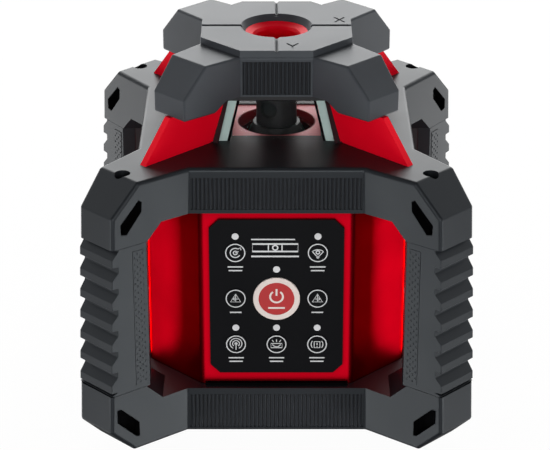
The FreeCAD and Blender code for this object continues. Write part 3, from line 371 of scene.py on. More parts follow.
def slot_shade_cup(name, shape, place, mirrored, quarter):
    """A black cup of painted shade that lines a slot: its section is (share of the slot's outline,
    depth) pairs.
    """
    mesh_data = bmesh.new()
    centre_x, centre_z = place
    rings = []
    for scale, depth in CUP_SECTION:
        ring = []
        for x, z in shape:
            spot = slanted_spot(centre_x + x * scale, centre_z, -depth, mirrored, quarter)
            spot.z = centre_z + z * scale
            ring.append(spot)
        rings.append(ring)
    add_loft(mesh_data, rings)
    finish_mesh(name, mesh_data, "near_black_and_shade", "chassis")


for quarter in range(4):
    for mirrored, hand in HANDS:
        slot_shade_cup(f"slot_lower_{quarter}_{hand}", LOWER_SLOT, LOWER_SLOT_PLACE, mirrored, quarter)
        slot_shade_cup(f"slot_upper_{quarter}_{hand}", UPPER_SLOT, UPPER_SLOT_PLACE, mirrored, quarter)


DIMPLE_COLUMNS, DIMPLE_START, DIMPLE_ACROSS = 4, 1.8, 1.7
DIMPLE_LOW, DIMPLE_ROWS, DIMPLE_PITCH = 41.0, 21, 3.6
DIMPLE_PROUD, DIMPLE_SUNK, PIT_DEEP = 0.22, 0.6, 0.45
PIT_HALF_WIDE, PIT_HALF_TALL = 0.52, 0.85
PIT_ANGLES = (-125, -55, 0, 55, 125, 180)


def face_point(along, level, out, mirrored, quarter):
    """A point on a grip's slanted face, measured along it from the opening's edge."""
    here = plan(level)
    slope = (here["far"] - here["out"]) / (here["near"] - here["half"])
    slant = math.atan(slope)
    x = GRIP_SIDE + along * math.cos(slant)
    y = here["out"] + (x - here["half"]) * slope
    x, y = x - out * math.sin(slant), y + out * math.cos(slant)
    return turned([(-x if mirrored else x, y, level)], quarter)[0]


def dimple_column(mesh_data, along, first, to_face):
    """A thin bar on the face with a row of pits that starts at a height above the bar's foot."""
    left, right = along - DIMPLE_ACROSS / 2, along + DIMPLE_ACROSS / 2
    top = DIMPLE_LOW + DIMPLE_ROWS * DIMPLE_PITCH
    start = DIMPLE_LOW + first
    count = int((top - start) / DIMPLE_PITCH + 0.01)
    end = start + count * DIMPLE_PITCH
    made = {}

    def vert(a, z, out):
        key = (round(a, 3), round(z, 3), out)
        if key not in made:
            made[key] = mesh_data.verts.new(to_face(a, z, out))
        return made[key]

    def plain(low, high):
        """A stretch of the bar's front without a pit."""
        mesh_data.faces.new([vert(a, z, DIMPLE_PROUD) for a, z in (
            (left, low), (right, low), (right, high), (left, high))])

    rim_levels = [start + DIMPLE_PITCH / 2 * half for half in range(2 * count + 1)]
    if first:
        plain(DIMPLE_LOW, start)
        rim_levels.insert(0, DIMPLE_LOW)
    for row in range(count):
        low, middle, high = (start + DIMPLE_PITCH * (row + share) for share in (0, 0.5, 1))
        cell = [vert(a, z, DIMPLE_PROUD) for a, z in (
            (left, low), (right, low), (right, middle),
            (right, high), (left, high), (left, middle))]
        pit = [vert(along + PIT_HALF_WIDE * math.cos(math.radians(angle)),
                    middle + PIT_HALF_TALL * math.sin(math.radians(angle)), DIMPLE_PROUD)
               for angle in PIT_ANGLES]
        bottom = vert(along, middle, DIMPLE_PROUD - PIT_DEEP)
        for index in range(6):
            after = (index + 1) % 6
            mesh_data.faces.new((cell[index], cell[after], pit[after], pit[index]))
            mesh_data.faces.new((pit[index], pit[after], bottom))
    if end < top - 0.01:
        plain(end, top)
        rim_levels.append(top)
    rim_left = [vert(left, level, DIMPLE_PROUD) for level in rim_levels]
    rim_right = [vert(right, level, DIMPLE_PROUD) for level in rim_levels]
    back = [vert(a, z, -DIMPLE_SUNK) for a, z in (
        (left, DIMPLE_LOW), (right, DIMPLE_LOW), (right, top), (left, top))]
    mesh_data.faces.new(back)
    mesh_data.faces.new(rim_left + [back[3], back[0]])
    mesh_data.faces.new(list(reversed(rim_right)) + [back[1], back[2]])
    mesh_data.faces.new((rim_left[0], rim_right[0], back[1], back[0]))
    mesh_data.faces.new((rim_left[-1], rim_right[-1], back[2], back[3]))


for quarter in range(4):
    for mirrored, hand in HANDS:
        dimples = bmesh.new()
        for column in range(DIMPLE_COLUMNS):
            along = DIMPLE_START + DIMPLE_ACROSS * (column + 0.5)
            first = DIMPLE_PITCH / 2 * (column % 2)
            dimple_column(dimples, along, first,
                          lambda a, z, out: face_point(a, z, out, mirrored, quarter))
        finish_mesh(f"dimples_{quarter}_{hand}", dimples, "bumper", "chassis", 20)


# ---- sight grooves of the guard, and strips of painted shade below the openings ------------------

GUARD_TOP = 204.3
GROOVE_ENDS = (19.2, 39.0)
GROOVE_SECTION = ((-1.4, 0.05), (-1.0, 0.15), (0, 1.2), (1.0, 0.15), (1.4, 0.05), (1.4, 1.35),
                  (-1.4, 1.35))

for sign, side_name in ((-1, "front"), (1, "rear")):
    groove = bmesh.new()
    add_loft(groove, [[(x, sign * reach, GUARD_TOP - sunk) for x, sunk in GROOVE_SECTION]
                      for reach in GROOVE_ENDS])
    finish_mesh(f"sight_{side_name}", groove, "guard", "chassis", 20)


# Near-black strips on the lower bars' tops against the red housing: painted shade for the gap below
# each opening.
SHADE_STRIP_HALF, SHADE_STRIP_IN, SHADE_STRIP_OUT = 37.5, 68.05, 70.4
SHADE_STRIP_LEVELS = (28.3, 29.9)

for quarter in range(4):
    strip = bmesh.new()
    add_loft(strip, [turned([
        (-SHADE_STRIP_HALF, SHADE_STRIP_IN, level), (-SHADE_STRIP_HALF, SHADE_STRIP_OUT, level),
        (SHADE_STRIP_HALF, SHADE_STRIP_OUT, level), (SHADE_STRIP_HALF, SHADE_STRIP_IN, level)], quarter)
        for level in SHADE_STRIP_LEVELS])
    finish_mesh(f"opening_shade_strip_{quarter}", strip, "near_black_and_shade", "chassis")


# ---- flutes in the bands of the side bars and the guard ------------------------------------------

FLUTE_PITCH, FLUTE_DEEP = 2.1, 0.9
GUARD_FLUTE_PITCH, GUARD_FLUTE_DEEP = 2.17, 0.75
CREST = ((-0.36, 0.0), (-0.34, 0.7), (-0.27, 0.92), (-0.14, 1.0),
         (0.14, 1.0), (0.27, 0.92), (0.34, 0.7), (0.36, 0.0))


def flute_band(name, quarter, half, face, low, high, lean, pitch, deep):
    """Upright rounded flutes that stand on a band's floor and come level with the bar's face."""
    count = int(2 * half / pitch)
    wide = count * pitch / 2
    floor_out, middle = face - deep - 0.25, (low + high) / 2

    def leaning(section, level):
        """A section at a height, moved in with the bar's lean."""
        return turned([(x, y - (level - middle) * lean, level) for x, y in section], quarter)

    section = []
    for index in range(count):
        centre = (index - (count - 1) / 2) * pitch
        section.append((centre - pitch / 2, face - deep))
        section += [(centre + share * pitch, face - deep + (deep - 0.05) * rise)
                    for share, rise in CREST]
    section += [(wide, face - deep), (wide, floor_out), (-wide, floor_out)]
    flutes = bmesh.new()
    add_loft(flutes, [leaning(section, level) for level in (low, high)])
    finish_mesh(name, flutes, "insert", "chassis", smooth_angle=50)
    strip_wide = wide - 0.02
    strip = [(-strip_wide, floor_out + 0.02), (-strip_wide, face - deep + 0.1),
             (strip_wide, face - deep + 0.1), (strip_wide, floor_out + 0.02)]
    ground = bmesh.new()
    add_loft(ground, [leaning(strip, level) for level in (low + 0.02, high - 0.02)])
    finish_mesh(f"{name}_ground", ground, "groove", "chassis")


BAND_EXTENTS = {"lower": (5.4, 24.7, 46.1), "upper": (130.7, 147.8, 43.6)}
GUARD_HALF, GUARD_FACE, GUARD_BAND_LOW, GUARD_BAND_HIGH = 17.4, 39.7, 180.6, 198.4

for quarter in range(4):
    for band_name, (band_low, band_high, band_half) in BAND_EXTENTS.items():
        band_face = plan((band_low + band_high) / 2)["out"]
        flute_band(f"flutes_{band_name}_{quarter}", quarter, band_half, band_face,
                   band_low, band_high, CASE_LEAN, FLUTE_PITCH, FLUTE_DEEP)
    flute_band(f"flutes_guard_{quarter}", quarter, GUARD_HALF, GUARD_FACE,
               GUARD_BAND_LOW, GUARD_BAND_HIGH, 0.0, GUARD_FLUTE_PITCH, GUARD_FLUTE_DEEP)


# ---- flat strokes for prints ---------------------------------------------------------------------

KEYPAD_FACE, KEY_FACE = -69.2, -69.7
INK_THICK = 0.06


def stroke_mesh(mesh_data, points, width, to_world, closed=False):
    """A flat stroke of even width along points; to_world places (across, up, out)."""
    spots = [Vector(point) for point in points]
    count = len(spots)
    rings = []
    for index, spot in enumerate(spots):
        before = spots[index - 1] if closed or index else spot
        after = spots[(index + 1) % count] if closed or index < count - 1 else spot
        along = (after - before).normalized()
        side = Vector((-along.y, along.x)) * width / 2
        left, right = spot + side, spot - side
        rings.append([to_world(edge.x, edge.y, out) for edge, out in (
            (left, -INK_THICK), (left, INK_THICK), (right, INK_THICK), (right, -INK_THICK))])
    if not closed:
        add_loft(mesh_data, rings)
        return
    loops = [[mesh_data.verts.new(point) for point in ring] for ring in rings]
    for index in range(count):
        join_ring(mesh_data, loops[index], loops[(index + 1) % count])


def arc_points(x, y, radius, start=0.0, end=360.0, steps=40):
    """Points on an arc, in degrees; a full circle leaves out its last point."""
    full = abs(end - start) >= 360
    count = steps if full else steps + 1
    return [(x + radius * math.cos(math.radians(start + (end - start) * index / steps)),
             y + radius * math.sin(math.radians(start + (end - start) * index / steps)))
            for index in range(count)]


def keypad_spot(face):
    """Places a print on the keypad: across is +X, up is +Z and out is -Y."""
    return lambda across, up, out: (across, face - out, up)


def symbol(key, x, z):
    """The strokes of a key's pictogram: (points, width, closed) round the key's centre."""
    if key == "speed":
        return [(arc_points(x, z, 2.6, 60, 330, 24), 0.55, False),
                (arc_points(x, z, 1.0), 0.5, True),
                ([(x + 1.4, z + 2.2), (x + 2.7, z + 3.0), (x + 2.9, z + 1.6)], 0.5, False),
                ([(x, z), (x + 1.7, z + 0.9)], 0.45, False)]
    if key == "scan":
        return [([(x, z - 2.6), (x - 2.9, z + 0.8)], 0.45, False),
                ([(x, z - 2.6), (x + 2.9, z + 0.8)], 0.45, False),
                (arc_points(x, z - 2.6, 4.4, 52, 128, 12), 0.5, False),
                (arc_points(x, z + 0.3, 0.9), 0.6, True),
                (arc_points(x, z - 2.4, 0.5), 0.6, True)]
    if key in ("left", "right"):
        way = -1 if key == "left" else 1
        return [([(x - 2.6, z - 1.9), (x, z + 2.7), (x + 2.6, z - 1.9)], 0.5, True),
                ([(x, z + 2.3), (x, z - 1.6)], 0.4, False),
                ([(x - 1.2 * way, z - 0.2), (x + 1.3 * way, z - 0.2)], 0.4, False),
                ([(x + 0.5 * way, z + 0.6), (x + 1.4 * way, z - 0.2), (x + 0.5 * way, z - 1.0)],
                 0.4, False)]
    if key == "remote":
        return [(arc_points(x, z + 0.4, 3.1, -60, 240, 26), 0.45, False),
                (arc_points(x, z + 0.4, 1.8, -50, 230, 20), 0.45, False),
                (arc_points(x, z + 0.4, 0.5), 0.6, True),
                ([(x, z), (x, z - 3.2)], 0.5, False)]
    if key == "mode":
        return [([(x - 2.9, z - 2.0), (x - 2.9, z + 0.5), (x + 2.9, z + 0.5), (x + 2.9, z - 2.0)],
                 0.45, True),
                (arc_points(x, z + 0.9, 2.3, 205, 335, 14), 0.45, False),
                ([(x, z + 1.5), (x, z + 2.9)], 0.45, False),
                ([(x - 1.5, z + 1.4), (x - 2.3, z + 2.6)], 0.4, False),
                ([(x + 1.5, z + 1.4), (x + 2.3, z + 2.6)], 0.4, False)]
    return [([(x - 1.5, z - 2.0), (x - 1.5, z + 1.6), (x + 1.5, z + 1.6), (x + 1.5, z - 2.0)],
             0.5, True),
            ([(x, z + 0.9), (x, z - 0.5)], 0.5, False),
            ([(x, z - 1.1), (x, z - 1.5)], 0.5, False),
            (arc_points(x, z, 3.1, 140, 220, 10), 0.45, False),
            (arc_points(x, z, 3.1, -40, 40, 10), 0.45, False)]


SMALL_KEYS = {"speed": (-21.2, 105.4), "scan": (21.2, 105.4), "left": (-21.2, 79.2),
              "right": (21.2, 79.2), "remote": (-21.2, 52.5), "mode": (0.0, 52.5),
              "shock": (21.2, 52.5)}
SHORT_CAPTIONS = ("left", "right")

for key_name, (key_x, key_z) in SMALL_KEYS.items():
    strokes = bmesh.new()
    on_key = keypad_spot(KEY_FACE)
    stroke_mesh(strokes, arc_points(key_x, key_z, 4.9, steps=64), 0.55, on_key, closed=True)
    for points, width, closed in symbol(key_name, key_x, key_z):
        stroke_mesh(strokes, points, width, on_key, closed=closed)
    finish_mesh(f"print_key_{key_name}", strokes, "ink", f"key_{key_name}")

captions = bmesh.new()
on_pad = keypad_spot(KEYPAD_FACE)
for key_name, (key_x, key_z) in SMALL_KEYS.items():
    row_halves = [3.0] if key_name in SHORT_CAPTIONS else [4.0, 3.5]
    for row, half_long in enumerate(row_halves):
        row_z = key_z - 8.2 - 2.1 * row
        stroke_mesh(captions, [(key_x - half_long, row_z), (key_x + half_long, row_z)], 0.7, on_pad)
VIAL_BARS = (([(-13.0, 112.8), (9.5, 112.8)], 0.7), ([(-13.0, 103.2), (11.5, 103.2)], 0.9),
             ([(-4.2, 109.7), (-4.2, 106.5)], 0.6), ([(2.8, 109.7), (2.8, 106.5)], 0.6))
for points, width in VIAL_BARS:
    stroke_mesh(captions, points, width, on_pad)
stroke_mesh(captions, [(-12.4, 106.0), (-12.4, 110.2), (11.0, 110.2), (11.0, 106.0)], 0.9, on_pad,
            closed=True)
stroke_mesh(captions, arc_points(-0.7, 108.1, 1.3, steps=24), 0.7, on_pad, closed=True)
finish_mesh("print_captions", captions, "ink", "chassis")

POWER_Z = 79.1


def lathe(mesh_data, profile, to_world, steps=64, hollow=True):
    """Turn (radius, out) pairs round an axis, as a ring or as a solid capped at both ends."""
    loops = []
    for step in range(steps):
        angle = 2 * math.pi * step / steps
        loops.append([mesh_data.verts.new(to_world(r * math.cos(angle), r * math.sin(angle), out))
                      for r, out in profile])
    count = len(profile)
    for step in range(steps):
        here, after = loops[step], loops[(step + 1) % steps]
        for index in range(count if hollow else count - 1):
            other = (index + 1) % count
            mesh_data.faces.new((here[index], here[other], after[other], after[index]))
    if not hollow:
        mesh_data.faces.new([loop[0] for loop in loops])
        mesh_data.faces.new([loop[-1] for loop in loops])


bezel = bmesh.new()
lathe(bezel, [(9.3, 0.55), (9.3, 0.68), (9.5, 0.75), (11.95, 0.75), (12.15, 0.6), (12.15, -0.05),
              (10.25, -0.05), (10.25, 0.55)],
      lambda across, up, out: (across, KEYPAD_FACE - out, POWER_Z + up), steps=96)
finish_mesh("bezel_power", bezel, "ink_warm", "chassis")
power = bmesh.new()
on_power = keypad_spot(KEY_FACE)
stroke_mesh(power, arc_points(0, POWER_Z + 1.2, 3.3, 125, 415, 40), 1.0, on_power)
stroke_mesh(power, [(0, POWER_Z + 1.8), (0, POWER_Z + 5.6)], 1.0, on_power)
stroke_mesh(power, [(-4.3, POWER_Z - 5.3), (4.3, POWER_Z - 5.3)], 1.0, on_power)
finish_mesh("print_key_power", power, "ink_warm", "key_power")


# ---- lantern: ground glass edges, black frame strips and the gasket ------------------------------

PANE_LOW, PANE_HIGH = 153.0, 173.0
PANE_LOW_HALF, PANE_HIGH_HALF = 30.5, 25.5
PANE_LOW_OUT, PANE_HIGH_OUT = 34.0, 27.0
FIN_HALF = 1.95
SIDES = ((-1, "a"), (1, "b"))
# for each strip: its inner and outer edge, how proud it stands, its material and its slot
STRIPS = {
    "glass_edge": (4.9, -0.6, 0.25, "glass_edge", "glass"),
    "pane_frame": (-0.8, -3.4, 0.6, "black_plastic", "black_plastic"),
    "pane_inner": (6.3, 5.1, 0.3, "near_black_and_shade", "black_plastic"),
}


def lantern_strip(name, quarter, side, inner, outer, proud, material, slot_name):
    """A strip up one edge of a window: inner and outer are distances from the window's edge."""
    mesh_data = bmesh.new()
    rings = []
    for level, half, out in ((PANE_LOW, PANE_LOW_HALF, PANE_LOW_OUT),
                             (PANE_HIGH - 0.4, PANE_HIGH_HALF, PANE_HIGH_OUT)):
        near, far = side * (half - inner), side * (half - outer)
        rings.append(turned([(near, -out - proud, level), (far, -out - proud, level),
                             (far, -out + 0.1, level), (near, -out + 0.1, level)], quarter))
    add_loft(mesh_data, rings)
    return finish_mesh(name, mesh_data, material, "chassis")


for quarter in range(4):
    for side, hand in SIDES:
        for strip_name, strip in STRIPS.items():
            lantern_strip(f"{strip_name}_{quarter}_{hand}", quarter, side, *strip)


def octagon(half, out, level):
    """Eight points round a level octagon."""
    corner = [(half, -out, level), (out, -half, level)]
    return [point for quarter in range(4) for point in turned(corner, quarter)]


def pane_size(level):
    """A window's half width and distance from the axis at a height."""
    share = (level - PANE_LOW) / (PANE_HIGH - PANE_LOW)
    return (PANE_LOW_HALF + share * (PANE_HIGH_HALF - PANE_LOW_HALF),
            PANE_LOW_OUT + share * (PANE_HIGH_OUT - PANE_LOW_OUT))


def column_cladding(name, quarter, side):
    """Black cladding on one half of a lantern column, from the window's edge to the red fin."""
    mesh_data = bmesh.new()
    rings = []
    for level in (PANE_LOW - 0.3, PANE_HIGH + 0.2):
        half, out = pane_size(level)
        reach = (half + out + 4.0) / math.sqrt(2) + 0.4
        across, down = (reach - FIN_HALF) / math.sqrt(2), (reach + FIN_HALF) / math.sqrt(2)
        points = [(half - 0.3, -(out - 0.4), level), (half - 0.3, -(out + 4.3), level),
                  (across, -down, level), (across - 2, -(down - 2), level)]
        rings.append(turned([(side * x, y, z) for x, y, z in points], quarter))
    add_loft(mesh_data, rings)
    finish_mesh(name, mesh_data, "black_plastic", "chassis")


for quarter in range(4):
    for side, hand in SIDES:
        column_cladding(f"cladding_{quarter}_{hand}", quarter, side)

roof_gasket = bmesh.new()
loops = add_loft(roof_gasket, [octagon(*shape) for shape in (
    (24.0, 25.6, 172.9), (25.9, 27.5, 172.6), (26.4, 28.6, 173.4), (26.4, 28.6, 179.3),
    (24.0, 25.6, 179.3))], capped=False)
join_ring(roof_gasket, loops[-1], loops[0])
finish_mesh("roof_gasket", roof_gasket, "black_plastic", "chassis")


def upright(level):
    """Places turned work whose axis is the rotor's: out is measured up from a level."""
    return lambda across, up, out: (across, up, level + out)


WELL_TOP, SURROUND_LEVELS = 150.5, (150.65, 151.4)
SURROUND_IN, SURROUND_OUT = 23.2, 32.4

# The well's liner takes the darker red, painted shade inside the hollow.
bowl = bmesh.new()
lathe(bowl, [(20.75, 0.0), (20.75, -5.4), (19.0, -5.9), (19.0, -5.4), (20.2, -4.8), (20.2, 0.0)],
      upright(WELL_TOP))
finish_mesh("well_liner", bowl, "red_painted_shade_well", "chassis")

surround = bmesh.new()
for quarter in range(4):
    add_loft(surround, [turned([
        (-SURROUND_IN, -SURROUND_IN, level), (SURROUND_IN, -SURROUND_IN, level),
        (SURROUND_OUT, -SURROUND_OUT, level), (-SURROUND_OUT, -SURROUND_OUT, level)], quarter)
        for level in SURROUND_LEVELS])
finish_mesh("well_surround", surround, "black_plastic", "chassis")


# ---- fasteners, feet, bush threads, and what a hand turns or pulls -------------------------------

def round_ring(x, y, radius, level, steps=24):
    """Points round a level circle."""
    return [(x + radius * math.cos(2 * math.pi * step / steps),
             y + radius * math.sin(2 * math.pi * step / steps), level) for step in range(steps)]


def hexagon_ring(x, y, flat, level, steps=24):
    """Points round a hexagon: flat is half its width across the flats."""
    ring_points = []
    for step in range(steps):
        angle = 2 * math.pi * step / steps
        reach = flat / math.cos(angle % (math.pi / 3) - math.pi / 6)
        ring_points.append((x + reach * math.cos(angle), y + reach * math.sin(angle), level))
    return ring_points


def socket_screw(mesh_data, x, y, shank, head, tip, seat, crown, socket_deep):
    """A socket screw from its tip's height to its crown's, which may be above or below the tip."""
    way = 1 if crown > tip else -1
    add_loft(mesh_data, [
        round_ring(x, y, shank * 0.7, tip), round_ring(x, y, shank, tip + way * 0.8),
        round_ring(x, y, shank, seat), round_ring(x, y, head, seat),
        round_ring(x, y, head, crown - way * 0.4), round_ring(x, y, head - 0.4, crown),
        hexagon_ring(x, y, head * 0.5, crown),
        hexagon_ring(x, y, head * 0.5, crown - way * socket_deep)])


FOOT_PROFILE = ((4.6, 0.0), (5.2, 0.7), (6.6, 0.7), (7.2, 0.0), (9.7, 0.0), (10.5, 0.8),
                (10.5, 6.0))


def foot(mesh_data, x, y):
    """A rubber foot with a groove round its sole."""
    lathe(mesh_data, FOOT_PROFILE, lambda across, up, out: (x + across, y + up, out), steps=48,
          hollow=False)


TIE_PLACE, CASE_SCREW_PLACE, FOOT_PLACE = 77.2, 49.0, 74.6
tie_screws, case_screws, feet = bmesh.new(), bmesh.new(), bmesh.new()
for x_way in (-1, 1):
    for y_way in (-1, 1):
        socket_screw(tie_screws, x_way * TIE_PLACE, y_way * TIE_PLACE, shank=2.45, head=3.9,
                     tip=10.0, seat=145.0, crown=148.5, socket_deep=2.4)
        socket_screw(case_screws, x_way * CASE_SCREW_PLACE, y_way * CASE_SCREW_PLACE, shank=1.5,
                     head=3.1, tip=19.0, seat=7.0, crown=5.3, socket_deep=1.0)
        foot(feet, x_way * FOOT_PLACE, y_way * FOOT_PLACE)
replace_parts(finish_mesh("tie_screws", tie_screws, "knob", "chassis"), "corner_tie_screws")
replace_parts(finish_mesh("tray_screws", case_screws, "steel", "chassis"), "case_screws")
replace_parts(finish_mesh("rubber_feet", feet, "foot", "chassis"), "feet")

THREAD_WALL, THREAD_PITCH, THREAD_TURNS = 6.8, 2.31, 5
BASE_BUSH_FOOT, SIDE_BUSH_FACE, SIDE_BUSH_LEVEL = 4.0, -69.0, 79.0


def thread_rings(name, to_world):
    """The ridges of a 5/8 inch thread; to_world places (across, up, depth into the bush)."""
    mesh_data = bmesh.new()
    for turn in range(THREAD_TURNS):
        start = 0.4 + turn * THREAD_PITCH
        lathe(mesh_data, [(THREAD_WALL + 0.05, start), (THREAD_WALL - 0.35, start + 0.8),
                          (THREAD_WALL - 0.35, start + 1.1), (THREAD_WALL + 0.05, start + 1.9)],
              to_world)
    finish_mesh(name, mesh_data, "brass", "chassis", smooth_angle=20)


thread_rings("thread_base", lambda across, up, out: (across, up, BASE_BUSH_FOOT + out))
thread_rings("thread_side",
             lambda across, up, out: (SIDE_BUSH_FACE + out, across, SIDE_BUSH_LEVEL + up))

THUMB_LEVEL, THUMB_TIP, THUMB_SEAT, THUMB_FACE, THUMB_END = 63.0, 58.0, 71.1, 74.4, 76.1
KNURLS, KNURL_STEPS = 20, 6


def thumb_ring(radius, face, scallop=0.0):
    """A ring round the thumb screw's axis, with finger scallops of a depth."""
    count = KNURL_STEPS * KNURLS
    ring_points = []
    for step in range(count):
        angle = 2 * math.pi * step / count
        reach = radius - scallop * (1 - math.cos(angle * KNURLS)) / 2
        ring_points.append((reach * math.cos(angle), face, THUMB_LEVEL + reach * math.sin(angle)))
    return ring_points


thumb = bmesh.new()
add_loft(thumb, [
    thumb_ring(1.6, THUMB_TIP), thumb_ring(2.0, THUMB_TIP + 0.4), thumb_ring(2.0, THUMB_SEAT),
    thumb_ring(6.2, THUMB_SEAT, 0.3), thumb_ring(6.5, THUMB_SEAT + 0.4, 0.6),
    thumb_ring(6.5, THUMB_FACE - 0.4, 0.6), thumb_ring(6.1, THUMB_FACE, 0.3)])
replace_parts(finish_mesh("thumb_screw_head", thumb, "knob", "thumb_screw"),
            "battery_thumb_screw")


def wing_ring(face, cut):
    """The thumb screw's wing at a distance along its axis, shortened by a cut at both ends."""
    tip, shoulder = 5.2 - cut, 4.6 - cut
    return [(x, face, THUMB_LEVEL + z) for x, z in (
        (-tip, -0.7), (-shoulder, -1.3), (shoulder, -1.3), (tip, -0.7),
        (tip, 0.7), (shoulder, 1.3), (-shoulder, 1.3), (-tip, 0.7))]


wing = bmesh.new()
add_loft(wing, [wing_ring(THUMB_FACE - 0.3, 0.0), wing_ring(THUMB_END - 0.5, 0.0),
                wing_ring(THUMB_END, 0.6)])
finish_mesh("thumb_screw_wing", wing, "knob", "thumb_screw", 25)

COVER_FACE, COVER_PROUD, COVER_VALLEY, COVER_ROOT = 72.3, 0.8, 0.15, -0.4
COVER_RIDGES, COVER_RIDGE_PITCH = 6, 3.0
COVER_PAD_LOW, COVER_PAD_HIGH = 33.0, 52.6

section = [(COVER_ROOT, COVER_PAD_HIGH), (0.5, COVER_PAD_HIGH - 0.2),
           (COVER_PROUD, COVER_PAD_HIGH - 0.6)]
for ridge in range(COVER_RIDGES):
    high = COVER_PAD_HIGH - 1.6 - ridge * COVER_RIDGE_PITCH
    section += [(COVER_PROUD, high), (COVER_VALLEY, high - 0.5), (COVER_VALLEY, high - 1.1),
                (COVER_PROUD, high - 1.6)]
section += [(COVER_PROUD, COVER_PAD_LOW + 0.6), (0.5, COVER_PAD_LOW + 0.2),
            (COVER_ROOT, COVER_PAD_LOW)]
pad = bmesh.new()
add_loft(pad, [[(x, COVER_FACE + COVER_ROOT + (out - COVER_ROOT) * rise, z) for out, z in section]
               for x, rise in ((-33.0, 0.4), (-32.4, 1.0), (32.4, 1.0), (33.0, 0.4))])
finish_mesh("battery_cover_ridges", pad, "black_plastic", "battery", 20)

PORT_FACE, PORT_LEVEL, PORT_MIDDLE = 70.9, 41.0, 2.0
LIP_EDGE, LIP_HALF_TALL = -6.4, 3.5
LIP_SECTION = ((-0.2, 0), (0.5, 0), (0.9, 0.4), (0.9, 1.2), (-0.2, 1.9))
PAD_STEPS = ((-0.2, 5.0, 4.6), (0.25, 5.0, 4.6), (0.5, 4.7, 4.3))
lip = bmesh.new()
add_loft(lip, [[(PORT_FACE + out, LIP_EDGE + back, PORT_LEVEL + way * LIP_HALF_TALL)
                for out, back in LIP_SECTION] for way in (-1, 1)])
add_loft(lip, [[(PORT_FACE + out, PORT_MIDDLE + y_way * half_wide, PORT_LEVEL + z_way * half_tall)
                for y_way, z_way in ((-1, -1), (1, -1), (1, 1), (-1, 1))]
               for out, half_wide, half_tall in PAD_STEPS])
finish_mesh("port_cover_lip", lip, "soft_black", "port_cover", 20)


# ---- floor, lights and camera --------------------------------------------------------------------

def floor():
    """A plain pale floor: white paper with a faint shadow from above, and clear from below."""
    mesh = bpy.data.meshes.new("floor")
    mesh.from_pydata([(-4, -4, 0), (4, -4, 0), (4, 4, 0), (-4, 4, 0)], [], [(0, 1, 2, 3)])
    made, nodes, links, shader = new_material("floor_paper")
    shader.inputs["Base Color"].default_value = (0.5, 0.5, 0.5, 1)
    shader.inputs["Roughness"].default_value = 0.9
    glow = nodes.new("ShaderNodeEmission")
    glow.inputs["Color"].default_value = (1, 1, 1, 1)
    glow.inputs["Strength"].default_value = 1.03
    path = nodes.new("ShaderNodeLightPath")
    share = nodes.new("ShaderNodeMath")
    share.operation = "MULTIPLY"
    share.inputs[1].default_value = 0.94
    mix = nodes.new("ShaderNodeMixShader")
    links.new(path.outputs["Is Camera Ray"], share.inputs[0])
    links.new(share.outputs["Value"], mix.inputs["Fac"])
    links.new(shader.outputs["BSDF"], mix.inputs[1])
    links.new(glow.outputs["Emission"], mix.inputs[2])
    side = nodes.new("ShaderNodeNewGeometry")
    clear = nodes.new("ShaderNodeBsdfTransparent")
    one_sided = nodes.new("ShaderNodeMixShader")
    links.new(side.outputs["Backfacing"], one_sided.inputs["Fac"])
    links.new(mix.outputs["Shader"], one_sided.inputs[1])
    links.new(clear.outputs["BSDF"], one_sided.inputs[2])
    links.new(one_sided.outputs["Shader"], nodes["Material Output"].inputs["Surface"])
    mesh.materials.append(made)
    piece = bpy.data.objects.new("floor", mesh)
    scene.collection.objects.link(piece)
    piece.visible_glossy = False
    piece.visible_shadow = False


def softbox(name, place, target, width, height, radiance):
    """A rectangular soft light that points at a target."""
    light = bpy.data.lights.new(name, "AREA")
    light.shape = "RECTANGLE"
    light.size = width
    light.size_y = height
    light.energy = radiance * math.pi * width * height
    lamp = bpy.data.objects.new(name, light)
    lamp.location = place
    lamp.rotation_euler = (Vector(target) - Vector(place)).to_track_quat("-Z", "Y").to_euler()
    lamp.visible_camera = False
    scene.collection.objects.link(lamp)


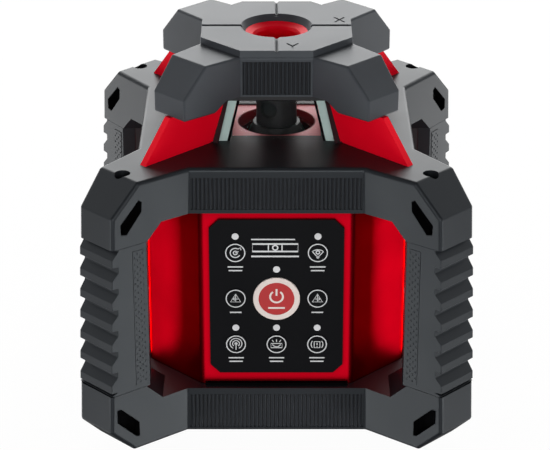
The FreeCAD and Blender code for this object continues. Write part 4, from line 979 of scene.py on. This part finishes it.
def studio():
    """A dim white room with soft panels behind, above, in front and at the sides."""
    world = bpy.data.worlds.new("studio")
    scene.world = world
    world.use_nodes = True
    nodes, links = world.node_tree.nodes, world.node_tree.links
    background = nodes["Background"]
    background.inputs["Color"].default_value = (1, 1, 1, 1)
    background.inputs["Strength"].default_value = 0.06
    bright = nodes.new("ShaderNodeBackground")
    bright.inputs["Color"].default_value = (1, 1, 1, 1)
    bright.inputs["Strength"].default_value = 1.0
    path = nodes.new("ShaderNodeLightPath")
    mix = nodes.new("ShaderNodeMixShader")
    links.new(path.outputs["Is Camera Ray"], mix.inputs["Fac"])
    links.new(background.outputs["Background"], mix.inputs[1])
    links.new(bright.outputs["Background"], mix.inputs[2])
    links.new(mix.outputs["Shader"], nodes["World Output"].inputs["Surface"])
    softbox("back", (0, 1.7, 0.85), (0, 0, 0.15), 3.0, 1.5, 4.05)
    softbox("top", (0, 0.1, 1.5), (0, 0, 0.1), 1.2, 0.9, 0.30)
    softbox("front_low", (0, -1.25, -0.62), (0, 0, 0.08), 0.9, 0.7, 0.92)
    softbox("front_key", (0, -1.7, 0.40), (0, 0, 0.1), 1.2, 0.8, 6.5)
    for side, name in ((-1, "left"), (1, "right")):
        softbox(f"{name}_wide", (side * 1.25, 0.25, 0.72), (0, 0.15, 0.3), 1.3, 1.25, 1.0)
        softbox(f"{name}_strip", (side * 0.98, -0.385, -0.44), (0, -0.05, 0.08), 0.30, 0.95,
                7.8 + 1.0 * side)
        softbox(f"{name}_low", (side * 0.85, 0.62, -0.42), (0, 0, 0.1), 0.42, 0.8, 5.5)


def camera():
    """The camera, in front of the object and above it."""
    lens = bpy.data.cameras.new("camera")
    lens.lens = 139.7
    lens.sensor_width = 36.0
    lens.clip_start = 0.05
    eye = bpy.data.objects.new("camera", lens)
    place = Vector((-0.0008, -1.0598, 0.5736))
    target = Vector((-0.0008, 0.0, 0.0893))
    eye.location = place
    eye.rotation_euler = (target - place).to_track_quat("-Z", "Y").to_euler()
    scene.collection.objects.link(eye)
    scene.camera = eye


floor()
studio()
camera()
